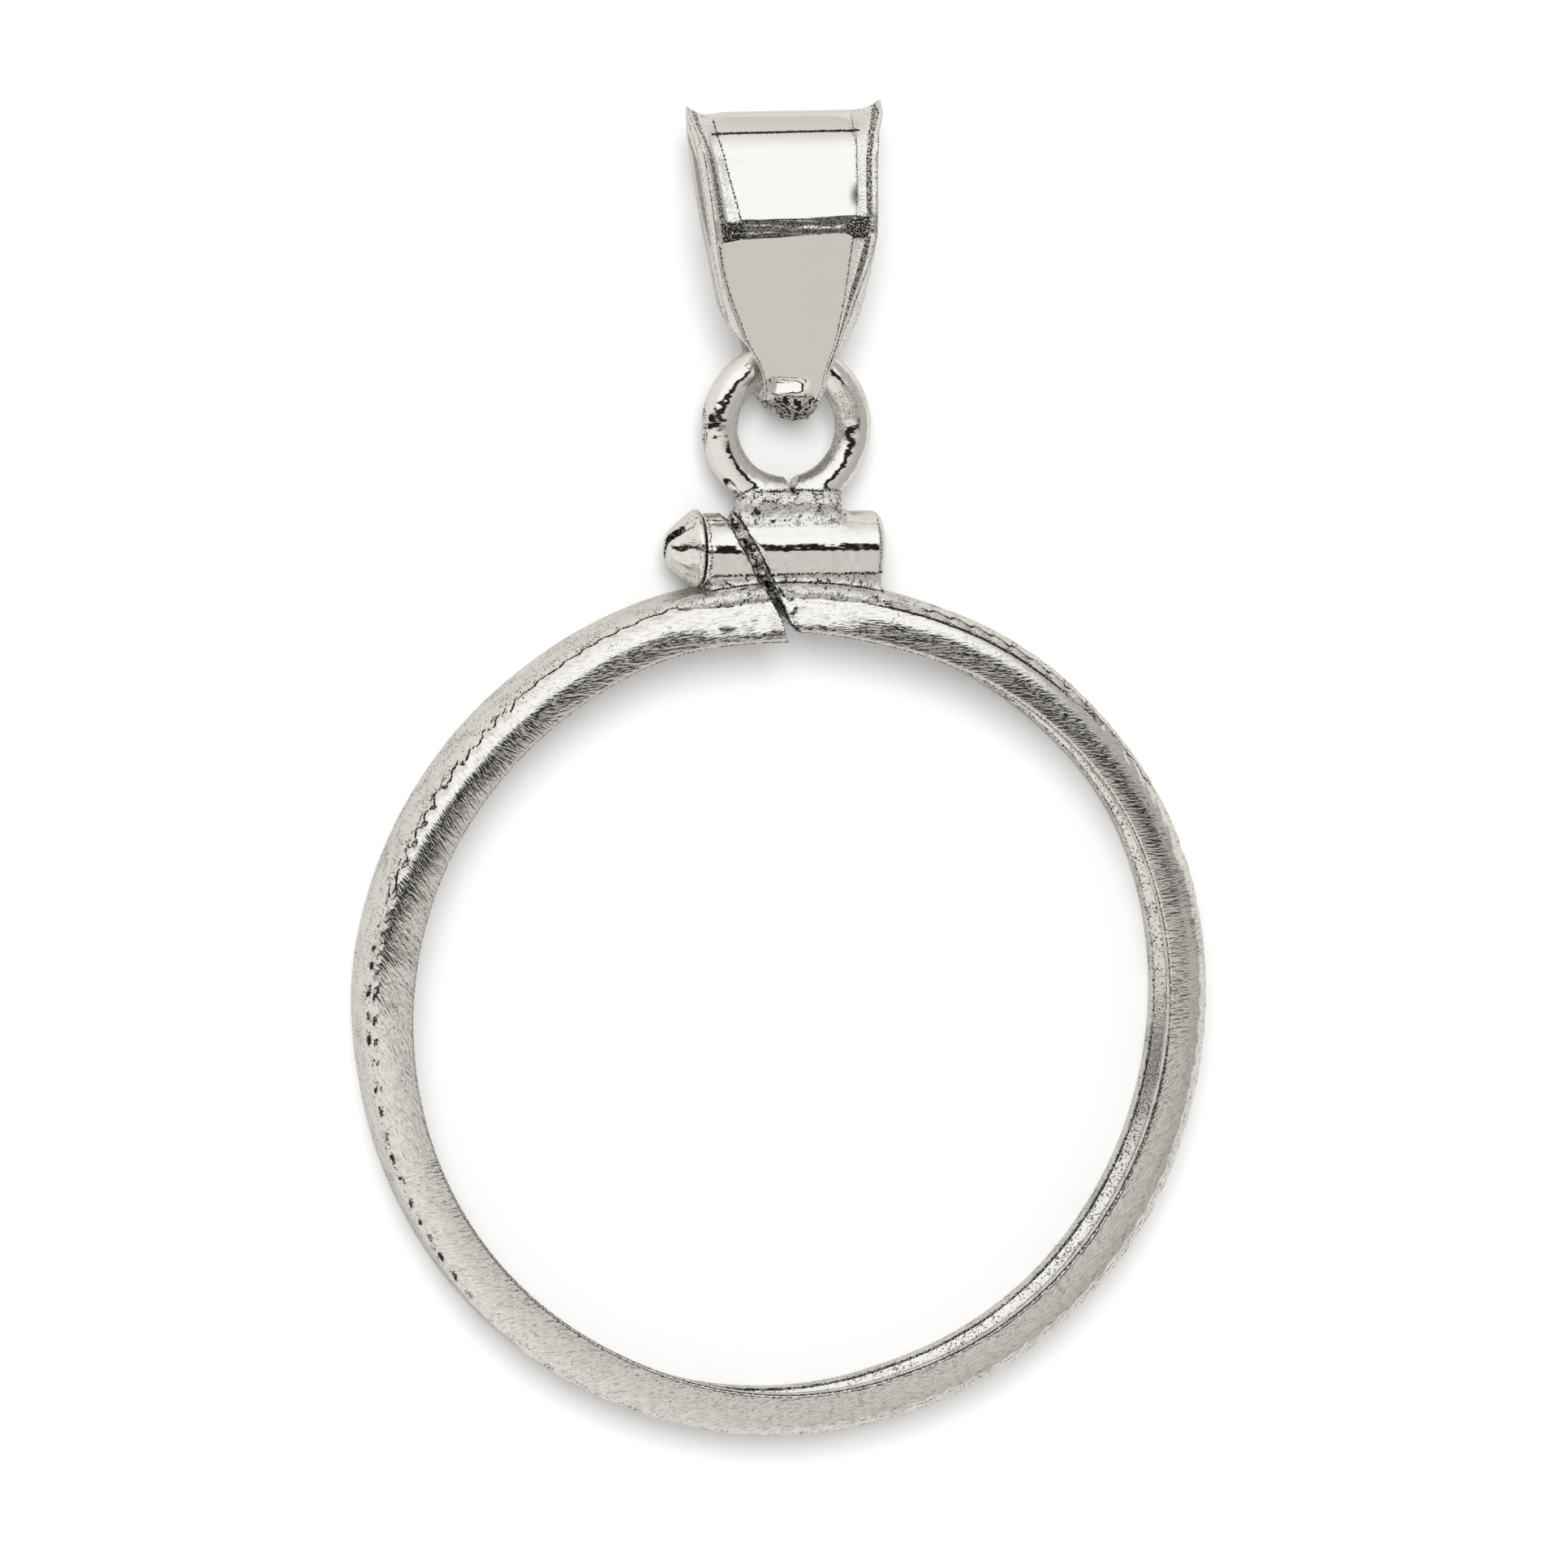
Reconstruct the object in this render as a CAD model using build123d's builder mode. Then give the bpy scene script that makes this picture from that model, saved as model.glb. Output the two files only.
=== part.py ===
from build123d import *
from collections import namedtuple
from math import asin, atan2, cos, degrees, hypot, radians, sin
import os

# Screw-top coin bezel lying on its back. The origin is the centre of the channel
# ring's back face, +Z is the ring's axis out of the front face and +Y points to the
# eye and the bail. All lengths are in millimetres, all angles in degrees.

# The coin that the channel grips, and its play on every side
coin_diameter = 24.3
coin_thickness = 1.75
coin_play = 0.05

# Channel ring
lip_overlap = 0.5
lip_thickness = 0.575
rim_wall = 0.8
outer_edge_round = 0.3

# Slanted saw cut that lets the ring open
split_width = 0.28
split_angle = 28.0
split_left_of_axis = 1.15
split_past_barrel = 0.05
split_past_lip = 0.8

# Barrel soldered on the ring, before the cut
barrel_radius = 1.1
barrel_left = 2.53
barrel_right = 3.0
barrel_in_ring = 0.12
barrel_left_round = 0.08
barrel_right_round = 0.4

# Solder saddle between ring and barrel
saddle_inset = 0.15
saddle_half_depth = 0.85
saddle_in_ring = 0.4
saddle_in_barrel = 0.7

# Closing screw
shank_radius = 0.6
shank_clearance = 0.05
barrel_end_wall = 0.9
shank_end_gap = 0.3
head_radius = 1.18
head_height = 1.03
head_rim = 0.2
head_gap = 0.05
slot_width = 0.28
slot_depth = 0.6
slot_turn = 38.0

# Wire eye on top of the barrel
eye_hole_radius = 1.5
wire_radius = 0.55
eye_off_axis = 0.13
eye_in_barrel = 0.04
seam_width = 0.44
seam_depth = 0.4
seam_off_eye = 0.1

# Solder foot of the eye
foot_left = 1.62
foot_right = 1.75
foot_spread = 0.62
foot_hollow = 0.16
foot_height = 0.68
foot_in_barrel = 0.45
foot_half_depth = 0.62

# Bail, a folded strip closed round the eye's wire
bail_length = 9.45
bail_width = 5.65
bail_wall = 0.4
bail_slack = 0.48
bail_drop = 0.45
crease_height = 6.2
crease_depth = 1.78
crease_round = 1.0
shoulder_below_top = 0.75
shoulder_depth = 0.95
rim_rise_at_crease = 0.25
rim_rise_at_top = 0.27
bail_spin = 2.2
bail_shift = 0.1
rest_clearance = 0.02

# Heights up the bail as shares of its length, widths as shares of its top width
BailRow = namedtuple("BailRow", "height front back front_recess back_recess")
bail_rows = (
    BailRow(-0.03, 0.29, 0.29, 0.26, 0.26),
    BailRow(0.11, 0.31, 0.30, 0.28, 0.26),
    BailRow(0.235, 0.395, 0.38, 0.37, 0.33),
    BailRow(0.285, 0.53, 0.45, 0.46, 0.38),
    BailRow(0.35, 0.70, 0.51, 0.55, 0.42),
    BailRow(0.456, 0.80, 0.58, 0.64, 0.47),
    BailRow(0.618, 0.895, 0.70, 0.725, 0.56),
    BailRow(0.86, 0.985, 0.88, 0.80, 0.70),
    BailRow(1.04, 1.00, 0.95, 0.83, 0.77),
)

# Ring sizes that follow from the coin
groove_radius = coin_diameter / 2 + coin_play
groove_width = coin_thickness + 2 * coin_play
lip_radius = groove_radius - lip_overlap
ring_radius = groove_radius + rim_wall
ring_height = groove_width + 2 * lip_thickness
mid_height = ring_height / 2

# Barrel places that follow from the ring
barrel_y = ring_radius + barrel_radius - barrel_in_ring
barrel_top_y = barrel_y + barrel_radius
barrel_axis = Axis((0, barrel_y, mid_height), (1, 0, 0))
saddle_top_y = barrel_y - barrel_radius + saddle_in_barrel

# Slanted saw cut, along its own plane
split_slope = radians(split_angle)
split_above = (barrel_radius + split_past_barrel) / cos(split_slope)
split_below = (barrel_y - lip_radius + split_past_lip) / cos(split_slope)
split_plane = Plane(
    origin=(-split_left_of_axis, barrel_y, mid_height),
    x_dir=(cos(split_slope), sin(split_slope), 0),
    z_dir=(0, 0, 1),
)

# Screw sizes that follow from the barrel
bore_radius = shank_radius + shank_clearance
bore_end = barrel_right - barrel_end_wall
shank_end = bore_end - shank_end_gap
head_seat = -barrel_left - head_gap
head_apex = head_seat - head_height
dome_height = head_height - head_rim
dome_radius = (head_radius**2 + dome_height**2) / (2 * dome_height)
dome_half_turn = asin(head_radius / dome_radius) / 2
slot_direction = radians(slot_turn)
slot_plane = Plane(
    origin=(head_apex, barrel_y, mid_height),
    x_dir=(0, cos(slot_direction), sin(slot_direction)),
    z_dir=(1, 0, 0),
)

# Eye places that follow from the barrel
eye_circle_radius = eye_hole_radius + wire_radius
eye_y = barrel_top_y - eye_in_barrel + wire_radius + eye_circle_radius
eye_bottom_y = eye_y - eye_hole_radius
seam_x = eye_off_axis + seam_off_eye
foot_base_y = barrel_top_y - foot_in_barrel
foot_left_x = eye_off_axis - foot_left
foot_right_x = eye_off_axis + foot_right

# Bail sizes, measured from the centre of the eye's wire where the bail hangs
tip_inner_radius = wire_radius + bail_slack
tip_outer_radius = tip_inner_radius + bail_wall
bail_bottom = -bail_drop - tip_outer_radius
bail_top = bail_bottom + bail_length - rim_rise_at_top
crease_at = bail_bottom + crease_height
shoulder_at = bail_top - shoulder_below_top
loft_depth = crease_depth + rim_rise_at_crease + bail_wall

# The bail leans back until the rim of its rear crease meets the surface
rear_crease_depth = crease_depth + rim_rise_at_crease
rear_crease_reach = hypot(rear_crease_depth, crease_at)
rear_crease_fall = mid_height - rest_clearance
lean = degrees(
    atan2(rear_crease_depth, crease_at) - asin(rear_crease_fall / rear_crease_reach)
)
spin = radians(bail_spin)
leaf_origin = (eye_off_axis - bail_shift, eye_y + eye_circle_radius, mid_height)
leaf_plane = Plane(
    origin=leaf_origin, x_dir=(cos(spin), sin(spin), 0), z_dir=(0, 0, 1)
).rotated((lean, 0, 0))
side_plane = Plane(origin=leaf_origin, x_dir=leaf_plane.y_dir, z_dir=leaf_plane.x_dir)


# Side section of the bail: a round tip, two slanting flanks and a rolled top
def bail_section(crease_rise, top_rise, wall):
    shoulder_height = shoulder_at + top_rise / 2
    with BuildSketch(side_plane) as section:
        with BuildLine():
            tip = ThreePointArc(
                (-bail_drop, -tip_outer_radius),
                (bail_bottom, 0),
                (-bail_drop, tip_outer_radius),
            )
            top = ThreePointArc(
                (shoulder_height, -shoulder_depth - top_rise),
                (bail_top + top_rise, 0),
                (shoulder_height, shoulder_depth + top_rise),
            )
            Polyline(tip @ 1, (crease_at, crease_depth + crease_rise), top @ 1)
            Polyline(tip @ 0, (crease_at, -crease_depth - crease_rise), top @ 0)
        make_face()
        creases = section.vertices().group_by(Axis.X)[1]
        fillet(creases, radius=crease_round)
        if wall:
            offset(amount=-wall, kind=Kind.INTERSECTION, mode=Mode.REPLACE)
    return section.sketch


# Outline of one leaf of the bail seen from the front, from one column of the table
def bail_outline(column, depth):
    heights = [bail_bottom + row.height * bail_length for row in bail_rows]
    halves = [getattr(row, column) * bail_width / 2 for row in bail_rows]
    with BuildSketch(leaf_plane.offset(depth)) as outline:
        with BuildLine():
            right = Spline(*zip(halves, heights))
            left = Spline(*[(-half, height) for half, height in zip(halves, heights)])
            Line(right @ 0, left @ 0)
            Line(right @ 1, left @ 1)
        make_face()
    return outline.sketch


with BuildPart() as bezel:
    # Channel ring, a U section turned about the ring's axis
    with BuildSketch(Plane.XZ):
        with BuildLine():
            Polyline(
                (lip_radius, 0),
                (ring_radius, 0),
                (ring_radius, ring_height),
                (lip_radius, ring_height),
                (lip_radius, ring_height - lip_thickness),
                (groove_radius, ring_height - lip_thickness),
                (groove_radius, lip_thickness),
                (lip_radius, lip_thickness),
                close=True,
            )
        section = make_face()
        columns = section.vertices().group_by(Axis.X)
        fillet(columns[-1], radius=outer_edge_round)
    revolve(axis=Axis.Z)
    # Barrel with a rounded right end
    with BuildSketch(Plane.XY.offset(mid_height)):
        with Locations(((barrel_right - barrel_left) / 2, barrel_y + barrel_radius / 2)):
            half_section = Rectangle(barrel_left + barrel_right, barrel_radius)
        outer = half_section.vertices().group_by(Axis.Y)[-1].sort_by(Axis.X)
        fillet(outer[0], radius=barrel_left_round)
        fillet(outer[-1], radius=barrel_right_round)
    revolve(axis=barrel_axis)
    # Solder saddle between ring and barrel
    with BuildSketch(Plane.XY.offset(mid_height - saddle_half_depth)):
        with BuildLine():
            Polyline(
                (-barrel_left + saddle_inset, ring_radius - saddle_in_ring),
                (barrel_right - saddle_inset, ring_radius - saddle_in_ring),
                (barrel_right - saddle_inset, saddle_top_y),
                (-barrel_left + saddle_inset, saddle_top_y),
                close=True,
            )
        make_face()
    extrude(amount=2 * saddle_half_depth)
    # Wire eye and its solder foot
    with Locations((eye_off_axis, eye_y, mid_height)):
        Torus(eye_circle_radius, wire_radius)
    with BuildSketch(Plane.XY.offset(mid_height - foot_half_depth)):
        with BuildLine():
            around = Polyline(
                (foot_right_x, barrel_top_y + foot_height),
                (foot_left_x, barrel_top_y + foot_height),
                (foot_left_x, foot_base_y),
                (foot_right_x + foot_spread, foot_base_y),
                (foot_right_x + foot_spread, barrel_top_y),
            )
            SagittaArc(around @ 1, around @ 0, foot_hollow)
        make_face()
    extrude(amount=2 * foot_half_depth)
    # Butt seam at the bottom of the eye
    with BuildSketch(Plane.XY):
        with BuildLine():
            Polyline(
                (seam_x - seam_width / 2, eye_bottom_y + seam_width / 2),
                (seam_x, eye_bottom_y - seam_depth),
                (seam_x + seam_width / 2, eye_bottom_y + seam_width / 2),
                close=True,
            )
        make_face()
    extrude(amount=ring_height, mode=Mode.SUBTRACT)
    # Slanted saw cut through ring, saddle and barrel
    with BuildSketch(split_plane):
        with Locations((0, (split_above - split_below) / 2)):
            Rectangle(split_width, split_above + split_below)
    extrude(amount=ring_height, both=True, mode=Mode.SUBTRACT)
    # Bore for the screw, closed at its right end
    with BuildSketch(Plane.YZ.offset(-barrel_left - head_gap)):
        with Locations((barrel_y, mid_height)):
            Circle(bore_radius)
    extrude(amount=bore_end + barrel_left + head_gap, mode=Mode.SUBTRACT)

with BuildPart() as screw:
    # Shank and domed head, turned about the barrel's axis
    with BuildSketch(Plane.XY.offset(mid_height)):
        with BuildLine():
            dome = ThreePointArc(
                (head_seat - head_rim, barrel_y + head_radius),
                (
                    head_apex + dome_radius * (1 - cos(dome_half_turn)),
                    barrel_y + dome_radius * sin(dome_half_turn),
                ),
                (head_apex, barrel_y),
            )
            Polyline(
                dome @ 0,
                (head_seat, barrel_y + head_radius),
                (head_seat, barrel_y + shank_radius),
                (shank_end, barrel_y + shank_radius),
                (shank_end, barrel_y),
                dome @ 1,
            )
        make_face()
    revolve(axis=barrel_axis)
    # Straight slot across the head
    with BuildSketch(slot_plane):
        Rectangle(2 * head_radius + slot_width, slot_width)
    extrude(amount=slot_depth, mode=Mode.SUBTRACT)

with BuildPart() as bail_recess:
    # Hollow that leaves the raised rims along both edges of the strip
    loft([bail_outline("back_recess", -loft_depth), bail_outline("front_recess", loft_depth)])
    extrude(bail_section(0, 0, 0), amount=bail_width, both=True, mode=Mode.SUBTRACT)

with BuildPart() as bail:
    # Outline of the two leaves, then the rimmed side section
    loft([bail_outline("back", -loft_depth), bail_outline("front", loft_depth)])
    rimmed = bail_section(rim_rise_at_crease, rim_rise_at_top, 0)
    extrude(rimmed, amount=bail_width, both=True, mode=Mode.INTERSECT)
    add(bail_recess.part, mode=Mode.SUBTRACT)
    # Eye that the wire and a chain pass through
    eye = bail_section(0, 0, bail_wall)
    extrude(eye, amount=bail_width, both=True, mode=Mode.SUBTRACT)

os.makedirs("parts", exist_ok=True)
bezel.part.label = "bezel"
export_step(bezel.part, "parts/bezel.step")
screw.part.label = "screw"
export_step(screw.part, "parts/screw.step")
bail.part.label = "bail"
export_step(bail.part, "parts/bail.step")
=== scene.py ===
import bpy
from collections import namedtuple
from math import cos, hypot, pi, radians, sin, tau

import numpy as np
from bpy.props import FloatProperty, FloatVectorProperty, IntProperty, PointerProperty
from mathutils import Matrix, Vector


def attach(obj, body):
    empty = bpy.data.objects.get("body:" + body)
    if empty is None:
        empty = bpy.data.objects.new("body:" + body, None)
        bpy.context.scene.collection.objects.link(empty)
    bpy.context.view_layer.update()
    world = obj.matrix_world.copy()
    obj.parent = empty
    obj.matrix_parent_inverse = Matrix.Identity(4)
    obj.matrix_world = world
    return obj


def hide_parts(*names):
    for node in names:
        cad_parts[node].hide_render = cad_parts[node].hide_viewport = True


bl_info = {
    "name": "Coin Bezel",
    "version": (1, 0, 0),
    "blender": (4, 5, 0),
    "location": "3D View > Sidebar > Coin Bezel",
    "description": "Dresses a screw-top coin bezel with a bail in worn silver",
    "category": "Object",
}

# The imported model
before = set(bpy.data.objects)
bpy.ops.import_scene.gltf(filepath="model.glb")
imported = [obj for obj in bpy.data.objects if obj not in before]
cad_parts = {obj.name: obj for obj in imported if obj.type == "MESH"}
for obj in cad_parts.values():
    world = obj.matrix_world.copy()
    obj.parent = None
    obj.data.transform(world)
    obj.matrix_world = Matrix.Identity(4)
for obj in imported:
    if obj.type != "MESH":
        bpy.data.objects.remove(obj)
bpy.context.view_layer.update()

# Shapes are worked out in millimetres and handed to Blender in metres
MM = 0.001


def length(name, description, millimetres):
    return FloatProperty(
        name=name, description=description, default=millimetres * MM, unit="LENGTH", precision=5
    )


def angle(name, description, degrees):
    return FloatProperty(
        name=name, description=description, default=radians(degrees), subtype="ANGLE"
    )


def share(name, description, value):
    return FloatProperty(
        name=name, description=description, default=value, min=0, max=1, subtype="FACTOR"
    )


def tone(name, description, red, green, blue):
    return FloatVectorProperty(
        name=name,
        description=description,
        default=(red, green, blue),
        min=0,
        max=1,
        size=3,
        subtype="COLOR",
    )


class RingSizes(bpy.types.PropertyGroup):
    outer_radius: length("Outer radius", "Outside of the channel ring", 13.0)
    groove_radius: length("Groove radius", "Bottom of the groove for the coin", 12.2)
    lip_radius: length("Lip radius", "Inner edge of both lips", 11.7)
    height: length("Height", "Depth of the ring along its axis", 3.0)
    lip_thickness: length("Lip thickness", "Thickness of each lip", 0.575)
    bead_inside: length("Bead inside", "Inner radius of the beaded front edge", 12.66)
    bead_outside: length("Bead outside", "Outer radius of the beaded front edge", 12.87)
    bead_pitch: angle("Bead pitch", "Angle from one bead of the edge to the next", 3.2)
    bead_height: length("Bead height", "Height of the beads along the front edge", 0.08)
    end_sag: length("End sag", "How far the left end of the ring hangs inward", 0.3)
    steps: IntProperty(name="Steps", description="Sections round the ring", default=1000, min=64)


class CutSizes(bpy.types.PropertyGroup):
    width: length("Width", "Width of the saw cut", 0.28)
    slant: angle("Slant", "Angle of the cut from the ring's radius", 28)
    left_of_axis: length("Left of axis", "Where the cut crosses the barrel's axis", 1.15)
    above_axis: length("Above axis", "How far the cut reaches past the barrel's axis", 1.3)


class BarrelSizes(bpy.types.PropertyGroup):
    radius: length("Radius", "Radius of the barrel", 1.1)
    centre: length("Centre", "Distance of the barrel's axis from the ring's axis", 13.98)
    left: length("Left", "Reach of the barrel to the left", 2.53)
    right: length("Right", "Reach of the barrel to the right", 3.0)
    bore_radius: length("Bore radius", "Radius of the screw's bore", 0.65)
    bore_end: length("Bore end", "Right end of the bore", 2.1)


class EyeSizes(bpy.types.PropertyGroup):
    hole_radius: length("Hole radius", "Inside of the wire eye", 1.5)
    wire_radius: length("Wire radius", "Radius of the eye's wire", 0.55)
    off_axis: length("Off axis", "Sideways place of the eye", 0.13)
    centre: length("Centre", "Distance of the eye's centre from the ring's axis", 17.64)
    seam_off_eye: length("Seam", "Sideways place of the butt seam in the eye", 0.1)


class ScrewSizes(bpy.types.PropertyGroup):
    head_radius: length("Head radius", "Radius of the domed head", 1.18)
    head_height: length("Head height", "Height of the domed head", 1.03)
    head_gap: length("Head gap", "Gap between the head and the barrel", 0.05)
    shank_radius: length("Shank radius", "Radius of the shank", 0.6)
    shank_end: length("Shank end", "Right end of the shank", 1.8)
    slot_width: length("Slot width", "Width of the driver slot", 0.26)
    slot_depth: length("Slot depth", "Depth of the driver slot below the dome's top", 0.5)
    slot_turn: angle("Slot turn", "Turn of the driver slot about the screw", 38)


class BailSizes(bpy.types.PropertyGroup):
    long: length("Length", "Length of the bail with its rims", 9.45)
    wide: length("Width", "Width across the bail's top", 5.65)
    wall: length("Wall", "Thickness of the strip", 0.4)
    wire_room: length("Room for the wire", "Inner radius of the tip", 1.03)
    drop: length("Drop", "How far the tip hangs below the wire's centre", 0.45)
    crease_height: length("Crease height", "Height of the crease above the tip", 6.17)
    crease_depth: length("Crease depth", "Half the bail's thickness at the crease", 1.78)
    crease_band: length("Crease band", "Height of the narrow facet along the crease", 0.56)
    crease_lean: angle("Crease lean", "Slope of the narrow facet along the crease", 11)
    facet_hollow: length("Facet hollow", "How hollow the upper facet is", 0.008)
    top_stretch: length("Top stretch", "How much longer the worn bail is than its drawing", 0.205)
    fold_below_top: length("Fold below top", "Height of the bevel along the top", 0.525)
    fold_depth: length("Fold depth", "Half the thickness where the top bevel starts", 0.684)
    bend_below_fold: length("Bend below fold", "Height of the facet's bend into the fold", 0.6)
    bend_depth: length("Bend depth", "Half the thickness where that bend starts", 1.107)
    rim_rise_at_crease: length("Rim at crease", "Height of the raised rims at the crease", 0.25)
    rim_rise_at_top: length("Rim at top", "Height of the raised rims at the top", 0.27)
    rim_width: length("Rim width", "Width of the flat top of the raised rims", 0.12)
    wall_draft: length("Wall draft", "How far the outer walls lean in towards the rims", 0.1)
    tip_slant: length("Tip slant", "How much higher the tip's lower edge is on its left", 0.5)
    lean: angle("Lean", "How far the bail leans up from the surface", 7.106)
    turn: angle("Turn", "How far the bail is turned to the left", 2.2)
    off_axis: length("Off axis", "Sideways place of the bail", 0.03)
    pivot: length("Pivot", "Distance of the swing's axis from the ring's axis", 19.69)


class SilverFinish(bpy.types.PropertyGroup):
    bright: tone("Silver", "Clean silver", 0.955, 0.94, 0.915)
    dull: tone("Dull silver", "Silver in pits and scratches", 0.55, 0.52, 0.48)
    # The dark tone is real tarnish in pits and seams, and also painted shade and painted dark
    # reflections wherever the dark marks and dark strokes call for it
    dark: tone("Tarnish and painted shade", "Blackened silver in cracks and seams", 0.035, 0.032, 0.028)
    polished: share("Polished", "Roughness of the polished bail and wire", 0.06)
    brushed: share("Brushed", "Roughness of the ring's brushed face", 0.1)
    worn: share("Worn", "Roughness of the ring's pitted walls", 0.2)
    satin: share("Satin", "Roughness of the bail's walls and the solder", 0.3)


class StudioSizes(bpy.types.PropertyGroup):
    camera_distance: length("Camera distance", "Camera to the ring's centre", 300)
    tilt: angle("Tilt", "Angle of the camera off the ring's axis", 14.76)
    heading: angle("Heading", "Side that the camera stands on, clockwise from the bail", 300.3)
    frame_width: length("Frame width", "Width of the picture at the object", 47.33)
    floor_size: length("Floor size", "Side of the floor", 4000)
    floor_tone: tone("Floor", "Colour of the floor", 0.9, 0.9, 0.9)
    mirrored_tone: tone("Mirrored floor", "Floor as the silver mirrors it", 0.6, 0.586, 0.56)
    warmth: tone("Grey panel", "Warm grey panel that the ring mirrors", 1.0, 0.962, 0.915)


class CoinBezel(bpy.types.PropertyGroup):
    ring: PointerProperty(type=RingSizes)
    cut: PointerProperty(type=CutSizes)
    barrel: PointerProperty(type=BarrelSizes)
    eye: PointerProperty(type=EyeSizes)
    screw: PointerProperty(type=ScrewSizes)
    bail: PointerProperty(type=BailSizes)
    finish: PointerProperty(type=SilverFinish)
    studio: PointerProperty(type=StudioSizes)


# Sizes of one group in millimetres, angles in radians, by name
def in_millimetres(group):
    sizes = {}
    for name, prop in group.bl_rna.properties.items():
        if prop.type == "FLOAT" and not prop.is_array:
            value = getattr(group, name)
            sizes[name] = value / MM if prop.unit == "LENGTH" else value
    return type("Sizes", (), sizes)


def smooth_step(low, high, value):
    part = np.clip((value - low) / (high - low), 0, 1)
    return part * part * (3 - 2 * part)


# Bell of height 1 over distances from a line; a higher power makes it squarer
def bell(distance, width, power=2):
    return np.exp(-((distance / width) ** power))


# Noise from -1 to 1 at points, one lump per unit
def lumps(points, seed=0):
    cell = np.floor(points).astype(np.int64)
    part = points - cell
    fade = part * part * (3 - 2 * part)
    total = np.zeros(len(points))
    for corner in range(8):
        bits = np.array([corner & 1, corner >> 1 & 1, corner >> 2 & 1])
        spot = cell + bits
        code = spot[:, 0] * 73856093 ^ spot[:, 1] * 19349663 ^ spot[:, 2] * 83492791
        code = (code ^ (seed * 40503 + 977)) & 0xFFFFFFFF
        code = (code ^ (code >> 15)) * 2246822519 & 0xFFFFFFFF
        code = (code ^ (code >> 13)) * 3266489917 & 0xFFFFFFFF
        value = ((code ^ (code >> 16)) & 0xFFFF) / 32767.5 - 1
        total += value * np.prod(np.where(bits, fade, 1 - fade), axis=1)
    return total


# Several sizes of lumps together
def rough_lumps(points, octaves=3, seed=0):
    total = np.zeros(len(points))
    for octave in range(octaves):
        total += lumps(points * 2**octave, seed + octave) / 2**octave
    return total


# Noise over a grid, from three coordinates that are each a grid or a number
def grid_lumps(x, y, z, seed):
    points = np.stack(np.broadcast_arrays(x, y, z), -1)
    return lumps(points.reshape(-1, 3), seed).reshape(points.shape[:-1])


def soft_union(first, second, blend):
    part = np.clip(0.5 + 0.5 * (second - first) / blend, 0, 1)
    return second * (1 - part) + first * part - blend * part * (1 - part)


def soft_cut(solid, tool, blend):
    return -soft_union(-solid, tool, blend)


# Field of a solid with rounded edges, from how far points are past each side once it is moved
# in by the rounding
def rounded_field(past, round_by):
    outside = np.linalg.norm(np.maximum(past, 0), axis=1)
    return outside + np.minimum(past.max(axis=1), 0) - round_by


def box_field(points, low, high, round_by):
    low, high = np.array(low), np.array(high)
    past = np.abs(points - (low + high) / 2) - (high - low) / 2 + round_by
    return rounded_field(past, round_by)


# Grid step of the meshes that come from fields
NET_STEP = 0.05


# Closed mesh of a field's zero surface, one vertex for each crossed cell of a grid
def net_of_field(field, low, high, step):
    counts = [int(np.ceil((b - a) / step)) + 1 for a, b in zip(low, high)]
    axes = [low[i] + step * np.arange(counts[i]) for i in range(3)]
    grid = np.stack(np.meshgrid(*axes, indexing="ij"), axis=-1)
    values = field(grid.reshape(-1, 3)).reshape(counts)
    for side in range(3):
        ends = [slice(None)] * 3
        for end in (0, -1):
            ends[side] = end
            values[tuple(ends)] = np.abs(values[tuple(ends)]) + step
    inside = values < 0
    shape = tuple(count - 1 for count in counts)
    total = np.zeros(shape + (3,))
    crossings = np.zeros(shape)
    corners = [(i, j, k) for i in (0, 1) for j in (0, 1) for k in (0, 1)]

    def at(array, corner):
        spans = [slice(c, c + n) for c, n in zip(corner, shape)]
        return array[tuple(spans)]

    for a in corners:
        for b in corners:
            if sum(abs(p - q) for p, q in zip(a, b)) != 1 or a > b:
                continue
            va, vb = at(values, a), at(values, b)
            crossed = at(inside, a) != at(inside, b)
            part = np.where(crossed, va / np.where(crossed, va - vb, 1), 0)
            for side in range(3):
                spot = a[side] + part * (b[side] - a[side])
                total[..., side] += np.where(crossed, spot, 0)
            crossings += crossed
    used = crossings > 0
    index = np.full(shape, -1)
    index[used] = np.arange(used.sum())
    cells = np.argwhere(used)
    points = np.array(low) + step * (cells + total[used] / crossings[used][:, None])
    quads = []
    for side in range(3):
        a, b = [i for i in range(3) if i != side]
        first = [slice(1, -1)] * 3
        first[side] = slice(0, -1)
        second = list(first)
        second[side] = slice(1, None)
        one, two = inside[tuple(first)], inside[tuple(second)]
        for grows in (True, False):
            spots = np.argwhere(one & ~two if grows else ~one & two)
            spots[:, a] += 1
            spots[:, b] += 1
            around = []
            for da, db in ((0, 0), (-1, 0), (-1, -1), (0, -1)):
                shifted = spots.copy()
                shifted[:, a] += da
                shifted[:, b] += db
                around.append(index[tuple(shifted.T)])
            quad = np.stack(around, axis=1)
            flip = grows == (side == 1)
            quads.append(quad[:, ::-1] if flip else quad)
    return points, np.concatenate(quads)


# Moves points onto the field's zero surface and returns them with their normals
def settle(field, points, rounds=3, reach=0.004):
    for _ in range(rounds):
        slope = np.empty_like(points)
        for side in range(3):
            nudge = np.zeros(3)
            nudge[side] = reach
            slope[:, side] = (field(points + nudge) - field(points - nudge)) / (2 * reach)
        size = np.maximum(np.linalg.norm(slope, axis=1), 1e-6)
        points = points - slope * (field(points) / size**2).clip(-0.04, 0.04)[:, None]
    return points, slope / size[:, None]


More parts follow.
